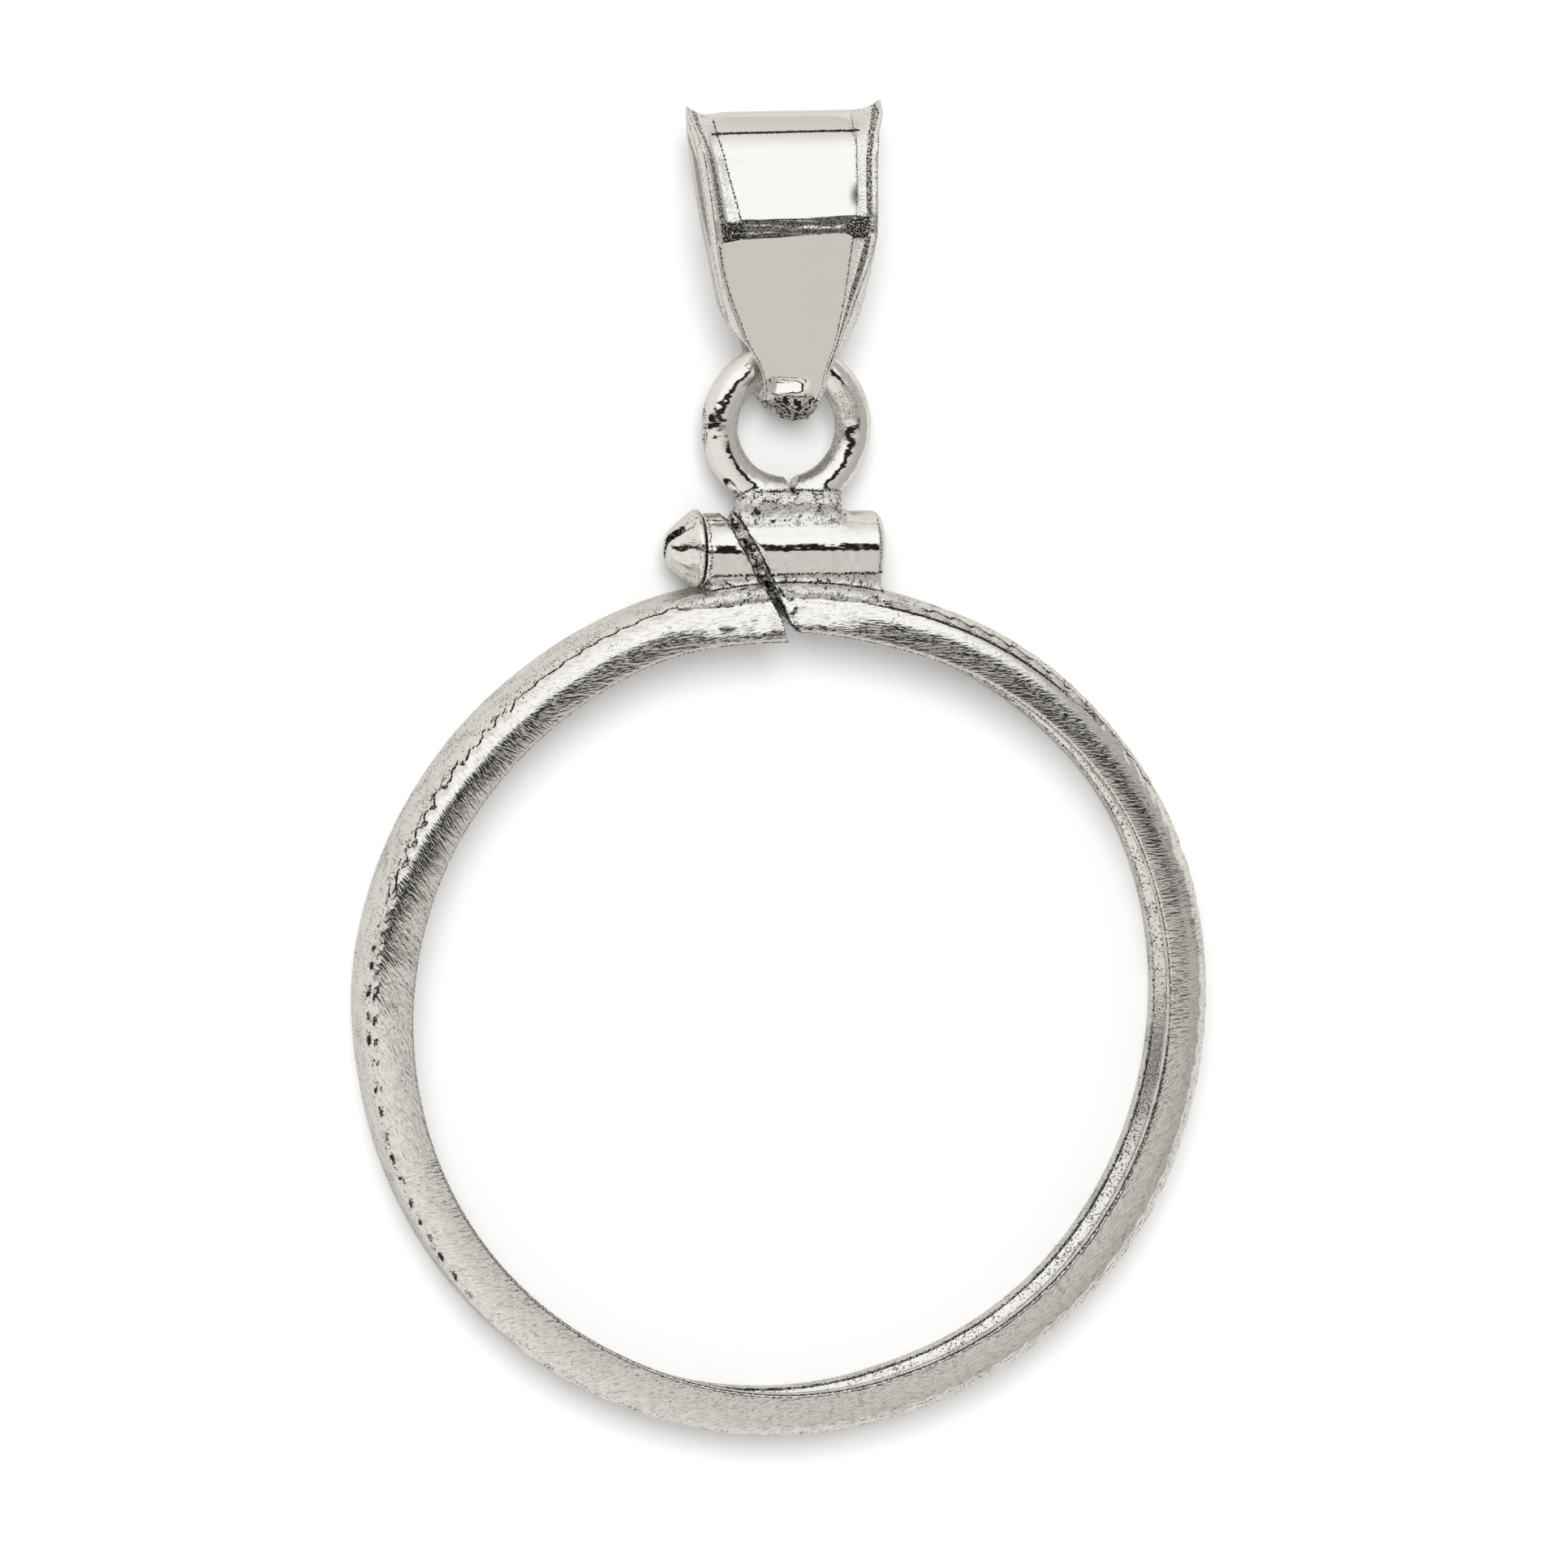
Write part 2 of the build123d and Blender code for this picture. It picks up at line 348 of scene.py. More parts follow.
# Grid of points as quads, with v running first and u second
def grid_quads(rows, columns, wrap_columns=False, wrap_rows=False):
    row = np.arange(rows if wrap_rows else rows - 1)
    column = np.arange(columns if wrap_columns else columns - 1)
    a, b = [part.ravel() for part in np.meshgrid(row, column, indexing="ij")]
    c, d = (a + 1) % rows, (b + 1) % columns
    return np.stack([a * columns + b, c * columns + b, c * columns + d, a * columns + d], 1)


def add_object(name, data):
    thing = bpy.data.objects.new(name, data)
    bpy.context.scene.collection.objects.link(thing)
    return thing


# New object from points in millimetres, riding on a body and wearing one material per region
def add_piece(name, points, faces, body, slot, materials, regions=None, sharp=None):
    mesh = bpy.data.meshes.new(name)
    faces = faces.tolist() if isinstance(faces, np.ndarray) else faces
    mesh.from_pydata((np.asarray(points) * MM).tolist(), [], faces)
    mesh.validate()
    for material in materials:
        mesh.materials.append(material)
    if regions is not None:
        mesh.polygons.foreach_set("material_index", np.asarray(regions, dtype=np.int32))
    mesh.polygons.foreach_set("use_smooth", np.ones(len(mesh.polygons), dtype=bool))
    if sharp is not None:
        mesh.set_sharp_from_angle(angle=sharp)
    mesh.update()
    piece = add_object(name, mesh)
    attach(piece, body)
    return piece


def add_mark(piece, name, values):
    mark = piece.data.attributes.new(name, "FLOAT", "POINT")
    mark.data.foreach_set("value", np.asarray(values, dtype=np.float32))


def add_chart(piece, chart):
    layer = piece.data.uv_layers.new(name="chart")
    layer.data.foreach_set("uv", np.asarray(chart, dtype=np.float32).ravel())


# One property of all items of a mesh, such as its vertices
def read_all(items, name, width=1, kind=float):
    values = np.empty(len(items) * width, dtype=kind)
    items.foreach_get(name, values)
    return values.reshape(-1, width) if width > 1 else values


# Vertex of each face corner
def corner_vertices(piece):
    return read_all(piece.data.loops, "vertex_index", kind=np.int32)


# Links a socket to a node's input, or sets the value of the input
def feed(tree, socket, value):
    if isinstance(value, bpy.types.NodeSocket):
        tree.links.new(value, socket)
    else:
        socket.default_value = value


def add_node(tree, kind, inputs=(), **settings):
    node = tree.nodes.new(kind)
    for name, value in settings.items():
        setattr(node, name, value)
    for key, value in dict(inputs).items():
        feed(tree, node.inputs[key], value)
    return node


def math_node(tree, operation, first, second=0.0, clamp=False):
    settings = {"operation": operation, "use_clamp": clamp}
    return add_node(tree, "ShaderNodeMath", {0: first, 1: second}, **settings).outputs[0]


def plus(tree, first, second):
    return math_node(tree, "ADD", first, second)


def minus(tree, first, second):
    return math_node(tree, "SUBTRACT", first, second)


def times(tree, first, second):
    return math_node(tree, "MULTIPLY", first, second)


def over(tree, first, second):
    return math_node(tree, "DIVIDE", first, second)


def noise_node(tree, where, scale, detail, roughness=0.5):
    inputs = {"Vector": where, "Scale": scale, "Detail": detail, "Roughness": roughness}
    return add_node(tree, "ShaderNodeTexNoise", inputs).outputs[0]


def ramp_node(tree, value, low, high):
    node = add_node(
        tree,
        "ShaderNodeMapRange",
        {"Value": value, "From Min": low, "From Max": high, "To Min": 0.0, "To Max": 1.0},
        interpolation_type="SMOOTHSTEP",
    )
    return node.outputs[0]


# Node group that several materials share, filled when it is first asked for
def shared_group(name, inputs, outputs, fill):
    if name not in bpy.data.node_groups:
        tree = bpy.data.node_groups.new(name, "ShaderNodeTree")
        sockets = tree.interface
        sockets.new_socket(name="Vector", in_out="INPUT", socket_type="NodeSocketVector")
        for socket, value in inputs.items():
            made = sockets.new_socket(name=socket, in_out="INPUT", socket_type="NodeSocketFloat")
            made.default_value = value
        for socket in outputs:
            sockets.new_socket(name=socket, in_out="OUTPUT", socket_type="NodeSocketFloat")
        given, out = tree.nodes.new("NodeGroupInput"), tree.nodes.new("NodeGroupOutput")
        fill(tree, given.outputs, out.inputs)
    return bpy.data.node_groups[name]


# Fine scratches that run along the first axis of the coordinates, which are in millimetres
def scratch_group():
    def fill(tree, given, out):
        along = over(tree, 1.0, given["Length"])
        across = over(tree, 1.0, given["Pitch"])
        stretch = add_node(tree, "ShaderNodeCombineXYZ", {0: along, 1: across, 2: across})
        place = add_node(
            tree,
            "ShaderNodeVectorMath",
            {0: given["Vector"], 1: stretch.outputs[0]},
            operation="MULTIPLY",
        )
        fine = noise_node(tree, place.outputs[0], 1.0, 1.5)
        coarse = noise_node(tree, place.outputs[0], 0.37, 1.0)
        both = plus(tree, fine, times(tree, coarse, 0.6))
        tree.links.new(both, out["Height"])
        tree.links.new(ramp_node(tree, fine, 0.5, 0.62), out["Streaks"])
        # Dark strokes of tarnish and painted dark reflection, the more of them the higher the More
        # input
        shifted = minus(tree, fine, times(tree, given["More"], 0.13))
        furrows = minus(tree, 1.0, ramp_node(tree, shifted, 0.31, 0.37))
        tree.links.new(furrows, out["Furrows"])

    inputs = {"Pitch": 0.05, "Length": 1.0, "More": 0.0}
    return shared_group("Fine scratches", inputs, ("Height", "Streaks", "Furrows"), fill)


# Pits and grains of cast or soldered silver, at a size in millimetres
def pit_group():
    def fill(tree, given, out):
        scale = over(tree, 1.0, given["Size"])
        grain = noise_node(tree, given["Vector"], scale, 2.5, 0.62)
        patch = noise_node(tree, given["Vector"], times(tree, scale, 0.11), 1.0)
        edge = plus(tree, 0.2, times(tree, given["Share"], 0.35))
        drift = times(tree, minus(tree, patch, 0.5), 0.3)
        low = minus(tree, plus(tree, grain, drift), edge)
        pits = minus(tree, 1.0, ramp_node(tree, low, 0.0, 0.06))
        tree.links.new(pits, out["Pits"])
        tree.links.new(minus(tree, grain, times(tree, pits, 0.5)), out["Height"])

    return shared_group("Cast pits", {"Size": 0.12, "Share": 0.3}, ("Height", "Pits"), fill)


# Ragged dark line or patch where a mark on the mesh is high
def ragged_group():
    def fill(tree, given, out):
        scale = over(tree, 1.0, given["Size"])
        noise = noise_node(tree, given["Vector"], scale, 3.0, 0.65)
        swing = times(tree, minus(tree, noise, 0.5), given["Wander"])
        level = plus(tree, given["Mark"], swing)
        tree.links.new(ramp_node(tree, level, 0.47, 0.57), out["Mask"])

    inputs = {"Mark": 0.0, "Size": 0.08, "Wander": 0.8}
    return shared_group("Ragged marks", inputs, ("Mask",), fill)


# Coordinates in millimetres, from the mesh's chart or from the object
def chart_coordinates(tree):
    chart = add_node(tree, "ShaderNodeUVMap", uv_map="chart")
    return chart.outputs[0]


def object_coordinates(tree):
    place = add_node(tree, "ShaderNodeTexCoord")
    scaled = add_node(
        tree,
        "ShaderNodeVectorMath",
        {0: place.outputs["Object"], "Scale": 1 / MM},
        operation="SCALE",
    )
    return scaled.outputs[0]


def mark_value(tree, name):
    return add_node(tree, "ShaderNodeAttribute", attribute_name=name).outputs["Fac"]


def group_node(tree, group, **inputs):
    return add_node(tree, "ShaderNodeGroup", inputs, node_tree=group)


def mix_colours(tree, factor, first, second):
    node = add_node(tree, "ShaderNodeMix", data_type="RGBA")
    for key, value in (("Factor_Float", factor), ("A_Color", first), ("B_Color", second)):
        feed(tree, next(s for s in node.inputs if s.identifier == key), value)
    return next(s for s in node.outputs if s.identifier == "Result_Color")


# Sum of values, each with its weight
def weighted(tree, *pairs):
    total = None
    for value, weight in pairs:
        part = times(tree, value, weight)
        total = part if total is None else plus(tree, total, part)
    return total


Scratches = namedtuple("Scratches", "pitch length shade furrows depth")
Pits = namedtuple("Pits", "size share shade depth")
Marks = namedtuple("Marks", "size wander depth")
Metal = namedtuple(
    "Metal", "roughness charted scratches pits marks coarse strokes", defaults=(None, None)
)

# The six silvers. Sizes and depths are in millimetres and the rest are strengths. A metal that is
# charted runs its scratches along the mesh's chart. The mesh marks named by coarse and strokes say
# where it is pitted and where its scratches are deeper and its painted dark reflections denser
METALS = {
    "brushed_silver": Metal(
        "brushed",
        True,
        Scratches(0.062, 0.32, 0.45, 0.55, 0.011),
        Pits(0.09, 0.3, 0.5, 0.002),
        Marks(0.07, 1.3, 0.01),
        strokes="strokes",
    ),
    "pitted_silver": Metal(
        "worn",
        False,
        Scratches(0.09, 0.3, 0.15, 0.15, 0.003),
        Pits(0.07, 0.53, 0.8, 0.006),
        Marks(0.07, 1.3, 0.01),
    ),
    "soldered_silver": Metal(
        "polished",
        False,
        Scratches(0.12, 0.3, 0.06, 0.0, 0.0045),
        Pits(0.06, 0.5, 0.7, 0.012),
        Marks(0.06, 1.4, 0.01),
        coarse="solder",
    ),
    "screw_silver": Metal(
        "polished",
        False,
        Scratches(0.12, 0.4, 0.1, 0.1, 0.006),
        Pits(0.08, 0.3, 0.6, 0.003),
        Marks(0.07, 1.3, 0.01),
    ),
    "bail_silver": Metal(
        "polished",
        True,
        Scratches(0.1, 3.0, 0.03, 0.0, 0.00025),
        Pits(0.06, 0.6, 0.8, 0.012),
        Marks(0.055, 1.3, 0.006),
        coarse="coarse",
    ),
    "bail_wall_silver": Metal(
        "satin",
        False,
        Scratches(0.08, 0.4, 0.2, 0.2, 0.004),
        Pits(0.07, 0.34, 0.75, 0.006),
        Marks(0.06, 1.3, 0.01),
    ),
}


# Silver with scratches, pits and dark marks
def silver(name, finish):
    metal = METALS[name]
    scratches, pits, marks, coarse, strokes = metal[2:]
    roughness = getattr(finish, metal.roughness)
    material = bpy.data.materials.new(name)
    material.use_nodes = True
    tree = material.node_tree
    tree.nodes.clear()
    out = add_node(tree, "ShaderNodeOutputMaterial")
    where = chart_coordinates(tree) if metal.charted else object_coordinates(tree)
    deep_and_dark_strokes = mark_value(tree, strokes) if strokes else 0.0
    pitch, reach = scratches.pitch, scratches.length
    streak = group_node(
        tree, scratch_group(), Vector=where, Pitch=pitch, Length=reach, More=deep_and_dark_strokes
    )
    pit = group_node(tree, pit_group(), Vector=where, Size=pits.size, Share=pits.share)
    # Marks that darken the silver along lines and patches: real tarnish, and painted shade and
    # painted dark reflections
    mark = mark_value(tree, "grime")
    ragged = group_node(
        tree, ragged_group(), Vector=where, Mark=mark, Size=marks.size, Wander=marks.wander
    )
    bright, dull, dark = ((*tint, 1) for tint in (finish.bright, finish.dull, finish.dark))
    shade = times(tree, streak.outputs["Streaks"], scratches.shade)
    base = mix_colours(tree, shade, bright, dull)
    # Dark strokes of tarnish and painted dark reflection
    furrows = times(tree, streak.outputs["Furrows"], scratches.furrows)
    scratch_height = times(tree, streak.outputs["Height"], scratches.depth)
    # Where the strokes mark is high the scratches are deeper and the painted dark strokes denser
    if strokes:
        depth = plus(tree, 0.3, times(tree, deep_and_dark_strokes, 0.7))
        furrows = times(tree, furrows, depth)
        scratch_height = times(tree, scratch_height, depth)
    base = mix_colours(tree, furrows, base, dark)
    pit_mask, pit_height = pit.outputs["Pits"], pit.outputs["Height"]
    if coarse:
        # Only the coarse parts of the piece, such as solder, are pitted and satin
        amount = mark_value(tree, coarse)
        pit_mask = times(tree, pit_mask, amount)
        pit_height = times(tree, pit_height, amount)
        roughness = plus(tree, roughness, times(tree, amount, finish.satin - roughness))
    pitted = mix_colours(tree, times(tree, pit_mask, pits.shade), base, dark)
    # Ragged dark marks: tarnish, and painted shade and painted dark reflections
    mask = ragged.outputs["Mask"]
    colour = mix_colours(tree, mask, pitted, dark)
    wear = weighted(tree, (streak.outputs["Streaks"], 0.04), (pit_mask, 0.15), (mask, 0.25))
    rough = math_node(tree, "ADD", roughness, wear, clamp=True)
    height = weighted(tree, (pit_height, pits.depth), (mask, -marks.depth))
    height = plus(tree, height, scratch_height)
    bump = add_node(tree, "ShaderNodeBump", {"Height": height, "Strength": 1.0, "Distance": MM})
    look = {"Base Color": colour, "Metallic": 1.0, "Roughness": rough, "Normal": bump.outputs[0]}
    shader = add_node(tree, "ShaderNodeBsdfPrincipled", look)
    tree.links.new(shader.outputs[0], out.inputs["Surface"])
    return material


# Where the saw cut meets a circle about the ring's axis, clockwise from the bail
def cut_angle(radius, cut, barrel, side):
    reach = barrel.centre * sin(cut.slant) - cut.left_of_axis * cos(cut.slant)
    return np.arcsin((reach + side * cut.width / 2) / radius) - cut.slant


# How far the ring's left end hangs inward at an angle
def end_sag(ring, turn):
    turn = np.mod(turn + pi, tau) - pi
    return ring.end_sag * smooth_step(-radians(24), -radians(2), turn) * (turn < radians(0.4))


# Fall of the ring's front face at radii in millimetres, in degrees, by stretch of the ring
CROWN_RADII = (11.7, 11.78, 11.85, 12, 12.15, 12.3, 12.42, 12.5, 12.58, 12.66, 12.68, 12.84, 12.87)
CROWNS = {
    "plain": (0, 0.3, 0.8, 3.2, 6, 9, 15, 20, 27, 36, 38, 48, 52),
    # Milled ledge at the upper right
    "ledge": (0.5, 1, 2.5, 4, 6.5, 10, 14, 18, 24, 42, -3, -3, 50),
    # Filed down beside the split
    "filed": (0, 3, 6, 12, 14, 15, 16, 17, 27, 32, 34, 44, 50),
}

# Way in which the front face is brushed: last angle of each stretch, degrees above the horizontal
BRUSH_WAYS = (
    (68, -2),
    (97, 6),
    (112, 40),
    (127, 52),
    (142, 45),
    (157, 24),
    (187, 11),
    (247, 8),
    (275, -64),
    (312, -55),
    (322, -30),
    (360, 8),
)


# How far the hand-made ring leaves a true circle: degrees clockwise from the bail, then
# millimetres outward at its back lip, at its front lip and at its outside
RING_DRIFT = (
    (0, -0.07, -0.12, 0.03),
    (12, -0.13, -0.25, 0.0),
    (22, -0.13, -0.20, 0.06),
    (32, -0.08, -0.09, 0.13),
    (45, 0.03, 0.04, 0.13),
    (57, 0.19, 0.13, 0.14),
    (66, 0.22, 0.13, 0.16),
    (78, 0.16, 0.08, 0.09),
    (92, 0.10, 0.02, 0.01),
    (106, 0.08, -0.03, -0.03),
    (122, 0.08, -0.07, 0.02),
    (136, 0.10, -0.07, -0.05),
    (150, 0.05, -0.10, -0.11),
    (162, -0.04, -0.16, -0.14),
    (172, 0.0, -0.16, -0.15),
    (182, 0.0, -0.18, -0.13),
    (194, 0.0, -0.24, -0.15),
    (206, -0.05, -0.28, -0.14),
    (218, -0.10, -0.25, -0.08),
    (228, -0.16, -0.20, -0.09),
    (240, -0.15, -0.15, -0.11),
    (252, -0.13, -0.13, -0.10),
    (262, -0.12, -0.12, -0.12),
    (270, -0.11, -0.11, -0.02),
    (276, -0.10, -0.10, 0.02),
    (295, -0.11, -0.11, 0.0),
    (309, -0.17, -0.17, -0.02),
    (323, -0.23, -0.23, -0.04),
    (338, -0.20, -0.20, 0.0),
    (350, -0.11, -0.11, 0.03),
    (360, -0.07, -0.12, 0.03),
)

# Radii between which the face turns into the polished shoulder, the radius of the line that a
# file left beside the split, and where the outer edge has a nick, in degrees
SHOULDER = (12.4, 12.95)
FILED_LINE = 12.52
NICK = 69

# How far outward the crown's facets lie: degrees clockwise from the bail, then millimetres
CROWN_SHIFT = ((0, 0), (200, 0), (226, 0.06), (262, 0.12), (290, 0.12), (304, 0.02), (360, 0))


# Value of a table's column at an angle, softened over four degrees to each side
def round_the_ring(table, column, turn):
    table = np.array(table)
    at = np.degrees(np.mod(turn, tau))
    around = [np.mod(at + shift, 360) for shift in (-4, 0, 4)]
    return sum(np.interp(angle, table[:, 0], table[:, column]) for angle in around) / 3


# Outward drift of the ring at a radius, a height and an angle
def ring_drift(ring, radii, heights, turn):
    back, front, outside = (round_the_ring(RING_DRIFT, column, turn) for column in (1, 2, 3))
    lip = back + (front - back) * smooth_step(0.6, 2.4, heights)
    wall = ring.outer_radius - ring.lip_radius
    return lip + (outside - lip) * (radii - ring.lip_radius) / wall


# Heights of one crown at its radii
def crown_heights(ring, radii, falls):
    fine = np.linspace(CROWN_RADII[0], CROWN_RADII[-1], 400)
    slope = np.tan(np.radians(np.interp(fine, CROWN_RADII, falls)))
    drop = np.concatenate([[0], np.cumsum((slope[1:] + slope[:-1]) / 2 * np.diff(fine))])
    return ring.height - np.interp(radii, fine, drop)


# Stretches of the ring: first and last degree clockwise from the bail, and how soft their ends are
STRETCHES = {
    "ledge": (9, 50, 14),
    "filed": (-14, 10, 10),
    "sharp beads": (284, 320, 8),
    "worn beads": (18, 66, 12),
    "clumps": (228, 286, 10),
    "seen inside": (96, 196, 10),
    "dents": (288, 322, 6),
    "zigzag": (286, 321, 4),
    "rim line": (97, 176, 12),
    "fold": (319, 347, 4),
    "teeth": (17, 60, 4),
    "step": (9, 44, 14),
}


# How much of 1 an angle in degrees lies within a stretch
def within(turn, name):
    first, last, soft = STRETCHES[name]
    middle, half = (first + last) / 2, (last - first) / 2
    away = np.abs(np.mod(turn - middle + 180, 360) - 180)
    return 1 - smooth_step(half - soft / 2, half + soft / 2, away)


# Channel ring, revolved from one section to the next, with its wear
def build_channel_ring(bezel):
    ring, cut, barrel = (in_millimetres(g) for g in (bezel.ring, bezel.cut, bezel.barrel))
    radii, below, region, on_face, past_edge = ring_section(ring)
    steps = bezel.ring.steps
    start = cut_angle(radii, cut, barrel, 1)
    stop = cut_angle(radii, cut, barrel, -1) + tau
    part = np.linspace(0, 1, steps)[:, None]
    turn = start + (stop - start) * part
    degrees_round = np.degrees(np.mod(turn, tau))
    r = np.broadcast_to(radii, turn.shape).copy()
    ledge = within(degrees_round, "ledge")
    filed = within(degrees_round, "filed")
    crown_shift = round_the_ring(CROWN_SHIFT, 1, turn)
    face = np.clip(radii - crown_shift, CROWN_RADII[0], CROWN_RADII[-1])
    shares = {"plain": (1 - ledge) * (1 - filed), "ledge": ledge * (1 - filed), "filed": filed}
    crown = sum(shares[name] * crown_heights(ring, face, CROWNS[name]) for name in CROWNS)
    fall = sum(shares[name] * np.interp(face, CROWN_RADII, CROWNS[name]) for name in CROWNS)
    z = np.where(on_face, crown, 0) + below
    # Beads along the front edge, sharp at the upper left and worn elsewhere
    clumps = within(degrees_round, "clumps")
    worn_beads = 0.5 * within(degrees_round, "worn beads")
    sharp = np.maximum(within(degrees_round, "sharp beads"), worn_beads)
    sharp = np.maximum.reduce([sharp, 0.7 * clumps, 0.25 + 0 * sharp])
    middle = (ring.bead_inside + ring.bead_outside) / 2
    half = (ring.bead_outside - ring.bead_inside) / 2
    beaded = bell(r - middle - 0.02 - 0.4 * crown_shift, half * 1.05, 4)
    edge = np.where(on_face, beaded, smooth_step(2.1, 2.45, z) * (r > middle))
    wander = grid_lumps(turn * 11, 0, 3, 4)
    phase = turn / ring.bead_pitch + 0.26 * wander
    saw = np.mod(phase + 1.1 * (r - middle) * (z > 2), 1)
    tooth = np.where(saw < 0.3, saw / 0.3, (1 - saw) / 0.7)
    wave = np.abs(np.sin(pi * saw)) ** 0.8
    bead = ring.bead_height * edge * sharp * (wave - 0.75) * (1 - 0.6 * filed)
    r += bead * 0.55
    z += bead * 0.85
    # Uneven wear of the face, the shoulder and the walls
    spots = np.stack([r * np.sin(turn), r * np.cos(turn), z], -1).reshape(-1, 3)
    wear = rough_lumps(spots * 1.1, 2, 11).reshape(r.shape)
    fine = rough_lumps(spots * 4.5, 2, 23).reshape(r.shape)
    outer = smooth_step(*SHOULDER, r) * smooth_step(0.0, 0.5, z)
    r += (0.010 * wear + 0.006 * fine) * outer - 0.012 * outer
    lower_face = (z > ring.height / 2) * on_face
    z += lower_face * (0.006 * wear - 0.004) + lower_face * filed * 0.012 * fine
    r += ring_drift(ring, radii, z, turn)
    # A nick in the outer edge
    nick = bell(degrees_round - NICK, 0.8) * smooth_step(1.6, 2.4, z)
    r -= 0.05 * nick * smooth_step(12.6, 12.9, r)
    # Burrs at the ends and the sag of the left end
    mean_radius = (ring.outer_radius + ring.lip_radius) / 2
    near_end = np.minimum(part, 1 - part) * tau * mean_radius
    burr = grid_lumps(z * 5, r * 5, part * 2, 31)
    turn = turn + burr * 0.05 / mean_radius * (1 - smooth_step(0, 0.12, near_end))
    wall = ring.outer_radius - ring.lip_radius
    r -= end_sag(ring, turn) * (ring.outer_radius - radii) / wall
    points = np.stack([r * np.sin(turn), r * np.cos(turn), z], -1)
    count = len(radii)
    quads = grid_quads(steps, count, wrap_columns=True)
    regions = np.tile(region, steps - 1)
    ends = [list(range(count)), list(range((steps - 1) * count, steps * count))[::-1]]
    faces = [*quads.tolist(), *ends]
    regions = np.concatenate([regions, [1, 1]])
    metals = [silver(name, bezel.finish) for name in ("brushed_silver", "pitted_silver")]
    looks = ("bezel", "bezel_silver", metals, regions, radians(50))
    piece = add_piece("channel_ring", points.reshape(-1, 3), faces, *looks)
    add_chart(piece, brush_chart(piece))
    # Dark lines, mostly painted shade and painted dark reflections: both edges of the lip, the cut,
    # the beads, the fold below them and the ledge; the file's line beside the split is a real mark
    upper = z > ring.height - 0.2
    seen_inside = within(degrees_round, "seen inside")
    # The lip's edge, the front lip's underside and the back lip's edge get painted shade, darker
    # where the channel's inside is in view
    lip = bell(radii - ring.lip_radius - 0.01, 0.032) * upper * (1 + 0.16 * seen_inside)
    under = smooth_step(0.32, 0.0, z - (ring.height - ring.lip_thickness))
    under = under * (radii < ring.lip_radius + 0.06) * (z > 2)
    back = bell(z - ring.lip_thickness + 0.02, 0.06) * (radii < ring.lip_radius + 0.1)
    back = back * (1 + 0.26 * seen_inside)
    end = 1 - smooth_step(0.0, 0.1, near_end)
    dents = edge * (sharp > 0.6) * smooth_step(0.4, 0.05, wave) * on_face
    dents = dents * within(degrees_round, "dents")

    def line_at(place, width):
        return bell(past_edge - place, width) * (z > 2)

    jag = grid_lumps(turn * 75, 0, 9, 71)
    zigzag = line_at(0.03 - 0.13 * tooth + 0.05 * jag, 0.028)
    second = line_at(0.1 - 0.1 * np.roll(tooth, 7, axis=0), 0.022) * (jag > 0)
    zigzag = np.maximum(zigzag, second) * within(degrees_round, "zigzag")
    rim_line = line_at(-0.11 + 0.03 * tooth + 0.02 * jag, 0.024)
    rim_line = rim_line * within(degrees_round, "rim line")
    fold = line_at(-0.03 + 0.05 * tooth, 0.032) * within(degrees_round, "fold")
    teeth = line_at(-0.05 + 0.06 * tooth, 0.035) * within(degrees_round, "teeth")
    patches = line_at(0.02 + 0.4 * crown_shift + 0.05 * jag, 0.14) * clumps
    patches = patches * smooth_step(1.0, 0.6, wave) * (0.8 + 0.3 * jag)
    step = line_at(ring.bead_inside - ring.bead_outside, 0.038)
    step = step * within(degrees_round, "step") * on_face
    groove = bell(radii - FILED_LINE, 0.03) * filed * on_face
    # Painted shade and painted dark reflections along lines and in the cut, with the file's line as
    # a real mark
    grime = np.maximum.reduce(
        [
            0.56 * lip,
            0.7 * under,
            0.56 * back,
            end * 0.55 + 0 * r,
            0.52 * dents,
            0.85 * zigzag,
            0.62 * rim_line,
            0.75 * fold,
            0.72 * teeth,
            0.78 * patches,
            0.82 * step,
            0.42 * groove,
        ]
    )
    add_mark(piece, "grime", grime.ravel())
    # Strokes are deepest, and their painted dark reflections densest, where the face turns up to
    # the bail, and end at the polished shoulder; on the upper half, and most on its bright band,
    # there are fewer, which paints that part lighter
    uphill = np.sin(np.radians(fall)) * np.cos(turn)
    deep_and_dark_strokes = smooth_step(0.045, 0.085, uphill) * smooth_step(0.22, 0.15, uphill) * on_face
    # worn marks the bright band, where fewer painted dark strokes leave it clean
    worn = smooth_step(0.17, 0.24, uphill) * on_face
    light = 0.2 * smooth_step(0.2, 0.5, np.cos(turn))
    strokes = 0.48 - light + (0.52 + light) * deep_and_dark_strokes - 0.25 * worn * (light > 0)
    add_mark(piece, "strokes", strokes.ravel())


# Chart of the brushed face for each face corner, in millimetres along and across the strokes
def brush_chart(piece):
    mesh = piece.data
    spots = read_all(mesh.vertices, "co", 3)[corner_vertices(piece)] / MM
    centres = read_all(mesh.polygons, "center", 3) / MM
    sizes = read_all(mesh.polygons, "loop_total", kind=np.int32)
    turn = np.degrees(np.arctan2(centres[:, 0], centres[:, 1])) % 360
    turn = turn + 5 * lumps(centres * (1.5, 1.5, 0), 61)
    lasts = np.array([last for last, _ in BRUSH_WAYS])
    ways = np.radians([way for _, way in BRUSH_WAYS])
    way = np.repeat(ways[np.searchsorted(lasts, turn % 360).clip(0, len(ways) - 1)], sizes)
    x, y = spots[:, 0], spots[:, 1]
    return np.stack([x * np.cos(way) + y * np.sin(way), y * np.cos(way) - x * np.sin(way)], 1)


